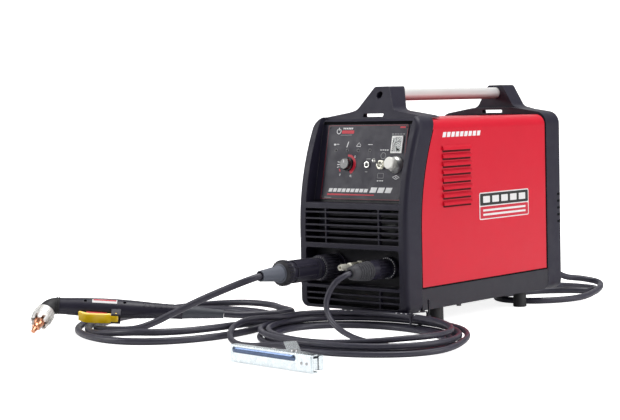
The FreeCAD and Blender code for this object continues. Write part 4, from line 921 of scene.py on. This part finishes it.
def panel_screws():
    """Small domed screws in the panel's corners."""
    for i, (x, z) in enumerate(((-80.0, 318.5), (-80.0, 205.5), (80.0, 318.5), (80.0, 205.5))):
        place = about(x, z)

        def upright(along, u, v):
            return place(u, v, along)
        dome = [(-0.2, 0.3), (-0.2, 1.9), (0.35, 1.8), (0.7, 1.2), (0.75, 0.6), (0.3, 0.5), (0.3, 0.3)]
        piece("panel_screw_%d" % (i + 1), *lathed(dome, upright, 20), "black_steel", "case")


def build_panel():
    panel_gap()
    panel_screws()
    panel_border()
    power_mark()
    light_symbols()
    dial_scale()
    control_marks()
    speed_stripes()
    gauge_face()
    knob_pointer()


# ---------------------------------------------------------------- plates and marks on the case

SIDES = ((-1, "left"), (1, "right"))

COVER_HALF = 112.7
COVER_SHOULDER = 313.0
COVER_BEND = 18.0
CASE_HALF = 113.0
REAR_ROUND = 8.0
PAN_TOP = 61.0
BEZEL_BACK = -182.5
LEAN_START = 150.0
LEAN_R = 393.0
BADGE_Y = 49.0
BADGE_Z = 182.5
BADGE_LONG = 145.0
BADGE_HIGH = 45.0
SEAM_PROUD = 0.14
SEAM_DEEP = 0.6
LOUVRE_ROWS = 8
LOUVRE_PITCH = 12.7
LOUVRE_LOW = 188.6
LOUVRE_Y = -84.5
VENT_ROWS = 5
VENT_PITCH = 12.0
VENT_LOW = 140.0
VENT_HIGH = 4.0
RATING_X = 4.0
RATING_Z = 116.0


def on_side(side):
    """Maker of points on the cover's side: u towards the front as the side is looked at, v up."""
    def place(u, v, out):
        return Vector((side * (COVER_HALF + out), side * u, v))
    return place


def side_plate(side, word):
    """Plain plate: dark field with blocks over a red one with two lines, in a pale rim."""
    place = on_side(side)
    centre = side * BADGE_Y
    upper = BADGE_Z + BADGE_HIGH / 4 - 0.4
    lower = BADGE_Z - BADGE_HIGH / 4 + 0.4

    def flat(part, loops, low, high, finish):
        piece(word + part, *joined([extruded(loop, low, high, place) for loop in loops]), finish, "case",
              smooth=False)
    flat("_plate_rim", [rectangle(centre, BADGE_Z, BADGE_LONG, BADGE_HIGH, 3.5)], -0.05, 0.5, "label_white")
    for part, height, ink_name in (("_plate_dark", upper, "black_ink"), ("_plate_red", lower, "red_ink")):
        field = rectangle(centre, height, BADGE_LONG - 4.0, BADGE_HIGH / 2 - 2.6, 2.0)
        flat(part, [field], 0.3, 0.62, ink_name)
    step = (BADGE_LONG - 14.0) / 5
    blocks = [rectangle(centre + step * (i - 2), upper, step * 0.74, 11.0, 1.0) for i in range(5)]
    flat("_plate_high_bars", blocks, 0.5, 0.76, "label_white")
    lines = [rectangle(centre, lower + offset, BADGE_LONG - 20.0, 3.4, 1.0) for offset in (-3.6, 3.6)]
    flat("_plate_low_bars", lines, 0.5, 0.76, "label_white")


def side_stripes(side, word):
    """Short row of pale bars above the louvres."""
    place = on_side(side)
    marks = [extruded(slanted(side * (-116.5 + 11.8 * i), 304.0, 8.6, 8.0, 2.4), -0.05, 0.14, place)
             for i in range(9)]
    piece(word + "_stripes", *joined(marks), "white_ink", "case", smooth=False)


def rear_plate():
    """Blank rating plate with ruled lines and rivets, low on the back."""
    def place(u, v, out):
        return Vector((u, CASE_REAR + out, v))
    plate = rectangle(RATING_X, RATING_Z, 96.0, 26.0, 2.0)
    piece("rating_plate", *extruded(plate, -0.05, 0.5, place), "satin_nickel", "case", smooth=False)
    rules = [rectangle(RATING_X, RATING_Z - 8.0 + 5.2 * i, 80.0, 0.7) for i in range(4)]
    rules += [rectangle(RATING_X - 26.0 + 26.0 * i, RATING_Z, 0.7, 16.0) for i in range(3)]
    piece("rating_plate_rules", *joined([extruded(rule, 0.4, 0.62, place) for rule in rules]), "black_ink",
          "case", smooth=False)
    rivets = []
    for x in (RATING_X - 44.5, RATING_X + 44.5):
        def upright(along, u, v, x=x):
            return Vector((x + u, CASE_REAR + along, RATING_Z + v))
        rivets.append(lathed([(0.3, 0.2), (0.3, 1.8), (0.9, 1.5), (1.2, 0.2)], upright, 16))
    piece("rating_plate_rivets", *joined(rivets), "steel", "case")


def bezel_back(z):
    """Where the front moulding's curved back edge meets the cover."""
    rise = max(0.0, z - LEAN_START)
    return BEZEL_BACK + LEAN_R - math.sqrt(LEAN_R * LEAN_R - rise * rise)


def cover_arch(reach):
    """Outline of the cover seen from the back, offset outwards, as (x, z) from foot to foot."""
    half = COVER_HALF + reach
    bend = COVER_BEND + reach
    right = [(half, PAN_TOP + 1.0)]
    for i in range(9):
        turn = math.radians(90.0 * i / 8)
        right.append((half - bend + bend * math.cos(turn), COVER_SHOULDER + bend * math.sin(turn)))
    return right + [(-x, z) for x, z in reversed(right)]


def seam_strips():
    """Dark joints between the red cover and the mouldings and pan round it, drawn wide as painted shade in
    the recesses there.
    """
    def along_y(x, z, y):
        return Vector((x, y, z))
    arch = cover_arch(SEAM_PROUD) + cover_arch(-SEAM_DEEP)[::-1]
    piece("rear_seam", *extruded(arch, CASE_REAR - 51.5, CASE_REAR - 47.2, along_y), "gap_black", "case",
          smooth=False)
    heights = [PAN_TOP + (COVER_SHOULDER - PAN_TOP) * i / 16 for i in range(17)]
    for side, word in SIDES:
        place = on_side(side)
        curve = [(side * (bezel_back(z) - 0.6), z) for z in heights]
        curve += [(side * (bezel_back(z) + 1.8), z) for z in reversed(heights)]
        low = rectangle(side * -1.5, PAN_TOP + 1.1, 2 * 180.0, 2.6)
        strips = [extruded(loop, -SEAM_DEEP, SEAM_PROUD, place) for loop in (curve, low)]
        piece(word + "_seam", *joined(strips), "gap_black", "case", smooth=False)


def corner_slots():
    """Ends of the rear vents, wrapping round the moulding's back corners, drawn as dark strips: painted
    shade in place of open slots.
    """
    for side, word in SIDES:
        def upright(x, y, z, side=side):
            return Vector((side * x, y, z))
        loops = []
        for reach in (0.12, -0.6):
            line = [(CASE_HALF + reach, CASE_REAR - 15.0)]
            for i in range(7):
                turn = math.radians(90.0 * i / 6)
                line.append((CASE_HALF - REAR_ROUND + (REAR_ROUND + reach) * math.cos(turn),
                             CASE_REAR - REAR_ROUND + (REAR_ROUND + reach) * math.sin(turn)))
            loops.append(line + [(CASE_HALF - REAR_ROUND - 6.0, CASE_REAR + reach)])
        outline = loops[0] + loops[1][::-1]
        feet = [VENT_LOW + VENT_PITCH * row for row in range(VENT_ROWS)]
        slots = [extruded(outline, foot, foot + VENT_HIGH, upright) for foot in feet]
        piece(word + "_corner_slots", *joined(slots), "gap_black", "case", smooth=False)


def louvre_shadows():
    """Painted shadow under the pressed hoods: dark strips where their openings are."""
    for side, word in SIDES:
        place = on_side(side)
        slots = [extruded(rectangle(side * LOUVRE_Y, LOUVRE_LOW + LOUVRE_PITCH * row, 76.0, 3.6), -0.5, 0.16,
                          place) for row in range(LOUVRE_ROWS)]
        piece(word + "_louvre_openings", *joined(slots), "deep_red", "case", smooth=False)


# ---------------------------------------------------------------- details of the front connectors

def forwards(x, z):
    """Maker of points about a connector's axis: along runs forwards from the recess floor."""
    def place(along, u, v):
        return Vector((x + u, RECESS_FLOOR - along, z + v))
    return place


def toothed(place, count, inner, outer, near, far, share):
    """Ring of separate small blocks round an axis."""
    blocks = []
    for i in range(count):
        middle = 360.0 * i / count
        half = 180.0 * share / count
        loop = arc(0.0, 0.0, inner, outer, middle - half, middle + half, 2)
        blocks.append(extruded(loop, near, far, lambda u, v, w: place(w, u, v)))
    return joined(blocks)


def bands(place, starts, wide, inner, outer, steps=48):
    """Plain raised bands round an axis, each starting at one of the starts."""
    return joined([lathed([(start, inner), (start, outer), (start + wide, outer), (start + wide, inner)],
                          place, steps) for start in starts])


def build_connectors():
    torch_axis = forwards(TORCH_X, TORCH_Z)
    work_axis = forwards(WORK_X, WORK_Z)
    piece("coupling_index_marks", *toothed(torch_axis, 30, 17.2, 19.0, 46.6, 47.35, 0.42), "grey_ink",
          "coupling",
          smooth=False)
    piece("coupling_grip_band", *bands(torch_axis, (10.0,), 2.2, 19.6, 20.9), "fitting_black", "coupling")
    piece("plug_bands", *bands(torch_axis, (58.0, 62.0, 112.0), 1.6, 16.4, 18.3), "fitting_black", "case")
    piece("boot_nut_teeth", *toothed(torch_axis, 24, 19.4, 20.9, 127.6, 136.4, 0.5), "fitting_black", "case",
          smooth=False)
    piece("work_flange_marks", *toothed(work_axis, 26, 15.6, 16.9, 9.6, 10.2, 0.45), "white_ink", "case",
          smooth=False)
    piece("work_grip_ribs", *toothed(work_axis, 20, 14.6, 16.3, 22.0, 43.0, 0.36), "fitting_black",
          "work_connector", smooth=False)
    nipple = forwards(0.0, 96.0)
    piece("nipple_knurl", *toothed(nipple, 22, 5.3, 6.0, 12.0, 31.0, 0.5), "nickel", "case", smooth=False)
    piece("nipple_beads", *bands(nipple, (9.4, 32.0), 1.5, 5.0, 6.4, 28), "nickel", "case")


# ---------------------------------------------------------------- details of the torch and the clamp

HANDLE_STATIONS = [(16.0, 12.2, 14.6), (40.0, 13.2, 15.6), (75.0, 14.6, 17.0), (112.0, 14.4, 17.0),
                   (160.0, 12.6, 14.2), (214.0, 11.2, 12.4)]


def handle_point(x, turn, out):
    """Point on the torch handle, turned up from the side that faces the viewer."""
    for (x0, y0, z0), (x1, y1, z1) in zip(HANDLE_STATIONS, HANDLE_STATIONS[1:]):
        if x <= x1:
            break
    share = (x - x0) / (x1 - x0)
    half_y = y0 + (y1 - y0) * share + out
    half_z = z0 + (z1 - z0) * share + out
    a = math.radians(turn)
    return on_torch(x, -half_y * math.cos(a), half_z * math.sin(a))


def handle_patch(x0, x1, low, high, start, end, steps=8):
    """Closed patch that hugs the handle between two distances and two turns."""
    points = []
    for out in (start, end):
        for i in range(steps + 1):
            for k in range(steps + 1):
                points.append(handle_point(x0 + (x1 - x0) * i / steps, low + (high - low) * k / steps, out))
    row = steps + 1
    layer = row * row
    faces = []
    for i in range(steps):
        for k in range(steps):
            a = i * row + k
            faces.append((a, a + 1, a + row + 1, a + row))
            faces.append((a + layer, a + layer + 1, a + layer + row + 1, a + layer + row))
    for i in range(steps):
        for a, b in ((i * row, (i + 1) * row), (i * row + steps, (i + 1) * row + steps), (i, i + 1),
                     (steps * row + i, steps * row + i + 1)):
            faces.append((a, b, b + layer, a + layer))
    return points, faces


def build_torch():
    piece("torch_label", *handle_patch(68.0, 108.0, -14.0, 16.0, -0.8, 0.35), "label_white", "torch")
    piece("torch_label_band", *handle_patch(69.5, 106.5, 2.0, 13.0, 0.1, 0.5), "red_ink", "torch")
    piece("torch_parting_line", *handle_patch(17.0, 213.0, 88.6, 91.4, -0.8, 0.18, 24), "gap_black", "torch")
    grips = [handle_patch(150.0 + 9.0 * i, 153.6 + 9.0 * i, -24.0, 24.0, -0.6, 0.5) for i in range(6)]
    piece("torch_grip_ribs", *joined(grips), "fitting_black", "torch")


def build_cup():
    """Fine knurl round the shield cup."""
    along = TORCH_NOZZLE
    across = TORCH_SIDE
    up = along.cross(across)

    def place(reach, u, v):
        return ELBOW + along * reach + across * u + up * v
    rows = [toothed(place, 24, 15.9, 17.0, 21.0 + 3.4 * i, 23.2 + 3.4 * i, 0.5) for i in range(4)]
    piece("cup_knurl", *joined(rows), "satin_nickel", "cup", smooth=False)


def clamp_frame_point(x, y, z):
    """Point in the clamp's own frame, x towards its nose."""
    return CLAMP_PIVOT + Matrix.Rotation(CLAMP_HEADING, 3, "Z") @ Vector((x, y, z))


def build_clamp():
    edge = through([clamp_frame_point(x, -8.4, 18.4) for x in (-118.5, -60.0, 0.0, 21.0)], 6.0)
    radii = [2.5] + [6.6] * (len(edge) - 2) + [2.5]
    tube("clamp_rolled_edge", edge, radii, "zinc_blue", "clamp", sides=28)

    def on_web(u, v, out):
        return clamp_frame_point(u, CLAMP_WEB_Y - out, v)
    plate = rectangle(35.0, 12.8, 25.0, 20.0, 2.0)
    piece("clamp_end_plate", *extruded(plate, -0.05, 0.9, on_web), "zinc", "clamp", smooth=False)
    rivets = []
    for x in (29.0, 39.0):
        def upright(along, u, v, x=x):
            return clamp_frame_point(x + u, CLAMP_WEB_Y - along, 13.0 + v)
        rivets.append(lathed([(0.6, 0.2), (0.6, 2.4), (1.5, 2.1), (1.9, 0.2)], upright, 18))
    piece("clamp_rivets", *joined(rivets), "steel", "clamp")
    coil = [clamp_frame_point(5.0 * math.cos(i / 3.0), 5.0 * math.sin(i / 3.0), 5.6 + 0.185 * i)
            for i in range(76)]
    tube("clamp_spring", coil, 0.9, "steel", "clamp", sides=10)


# Counts of CABLE_STEP along the work lead, where its two groups of dashes start.
MARK_STARTS = (1003, 1027)


def build_cable_marks():
    """Pale dashes stamped along the top turns of the work lead, in place of its printing."""
    coil = work_lead()[0]
    marks = []
    reach = WORK_CABLE_R + 0.12
    for start in MARK_STARTS:
        for i in range(start, start + 9, 2):
            a = coil[i]
            b = a + (coil[i + 1] - a) * 0.62
            outwards = Vector((0.0, -1.0, 1.3)).normalized()
            side = (b - a).normalized().cross(outwards).normalized()
            points = []
            for end in (a, b):
                for low, wide in ((reach - 0.8, 0.7), (reach, 0.7)):
                    points += [end + outwards * low + side * wide, end + outwards * low - side * wide]
            faces = [(0, 1, 3, 2), (4, 5, 7, 6), (0, 1, 5, 4), (2, 3, 7, 6), (0, 2, 6, 4), (1, 3, 7, 5)]
            marks.append((points, faces))
    piece("cable_marks", *joined(marks), "white_ink", "case", smooth=False)


# ---------------------------------------------------------------- stage

def build_stage():
    graph = Graph("floor_white")
    tone = graph.noise(900.0, 3.0)
    shade = graph.blend(tone, (0.90, 0.90, 0.90), (0.94, 0.94, 0.94))
    sheet = graph.close(shade, 0.6, Emission_Color=(1.0, 1.0, 1.0),
                        Emission_Strength=graph.seen_and_cast(0.85, 0.08))
    half = 12.0
    back = 5.0
    rise = 1.5
    profile = [(-half, 0.0), (back, 0.0)]
    for i in range(1, 13):
        turn = math.radians(90.0 * i / 12)
        profile.append((back + rise * math.sin(turn), rise * (1 - math.cos(turn))))
    profile.append((back + rise, 8.0))
    turn = Matrix.Rotation(CAMERA_YAW, 3, "Z")
    points = [turn @ Vector((x, y, z)) for y, z in profile for x in (-half, half)]
    faces = [(2 * i, 2 * i + 1, 2 * i + 3, 2 * i + 2) for i in range(len(profile) - 1)]
    mesh = bpy.data.meshes.new("studio_sweep")
    mesh.from_pydata(points, [], faces)
    for face in mesh.polygons:
        face.use_smooth = True
    mesh.materials.append(sheet)
    sweep = bpy.data.objects.new("studio_sweep", mesh)
    bpy.context.scene.collection.objects.link(sweep)


def softbox(name, place, target, wide, high, power):
    light = bpy.data.lights.new(name, "AREA")
    light.shape = "RECTANGLE"
    light.size = wide
    light.size_y = high
    light.energy = power
    lamp = bpy.data.objects.new(name, light)
    lamp.location = place
    lamp.rotation_euler = (Vector(target) - Vector(place)).to_track_quat("-Z", "Y").to_euler()
    bpy.context.scene.collection.objects.link(lamp)


CAMERA_YAW = math.radians(41.23)
CAMERA_DOWN = math.radians(3.70)
CAMERA_ROLL = math.radians(1.357)
CAMERA_PLACE = (1.6830, -2.2396, 0.3582)
CAMERA_LENS = 95.2


def build_camera():
    camera = bpy.data.cameras.new("camera")
    camera.lens = CAMERA_LENS
    camera.sensor_width = 36.0
    camera.clip_end = 60.0
    seen_from = bpy.data.objects.new("camera", camera)
    forward = Vector((-math.sin(CAMERA_YAW) * math.cos(CAMERA_DOWN),
                      math.cos(CAMERA_YAW) * math.cos(CAMERA_DOWN), -math.sin(CAMERA_DOWN)))
    right = Vector((math.cos(CAMERA_YAW), math.sin(CAMERA_YAW), 0.0))
    up = right.cross(forward)
    side = right * math.cos(CAMERA_ROLL) - up * math.sin(CAMERA_ROLL)
    top = right * math.sin(CAMERA_ROLL) + up * math.cos(CAMERA_ROLL)
    turn = Matrix((side, top, -forward)).transposed()
    seen_from.matrix_world = Matrix.Translation(CAMERA_PLACE) @ turn.to_4x4()
    bpy.context.scene.collection.objects.link(seen_from)
    bpy.context.scene.camera = seen_from


def build_world():
    """Soft even light all round, plain white to the camera."""
    world = bpy.data.worlds.new("studio")
    bpy.context.scene.world = world
    world.use_nodes = True
    tree = world.node_tree
    by_camera = tree.nodes.new("ShaderNodeLightPath").outputs["Is Camera Ray"]
    strength = tree.nodes.new("ShaderNodeMapRange")
    strength.inputs["To Min"].default_value = 0.24
    strength.inputs["To Max"].default_value = 1.0
    background = tree.nodes["Background"]
    background.inputs["Color"].default_value = (1.0, 1.0, 1.0, 1.0)
    tree.links.new(by_camera, strength.inputs["Value"])
    tree.links.new(strength.outputs["Result"], background.inputs["Strength"])


def build_light():
    build_world()
    softbox("right_softbox", (3.4, 0.6, 1.6), (0.0, 0.0, 0.2), 2.0, 2.0, 58.0)
    softbox("left_softbox", (-2.6, -2.4, 1.8), (0.0, 0.0, 0.15), 1.2, 2.2, 54.0)
    softbox("top_softbox", (0.2, 0.3, 3.2), (0.0, 0.0, 0.0), 2.0, 2.0, 78.0)
    softbox("sweep_light", (0.0, 2.0, 3.5), (-3.0, 5.0, 1.0), 3.0, 3.0, 60.0)
    bpy.context.scene.view_settings.view_transform = "Standard"


dress_cad_nodes()
build_cables()
build_panel()
for side, word in SIDES:
    side_plate(side, word)
    side_stripes(side, word)
rear_plate()
seam_strips()
louvre_shadows()
corner_slots()
build_connectors()
build_torch()
build_cup()
build_clamp()
build_cable_marks()
build_stage()
build_light()
build_camera()
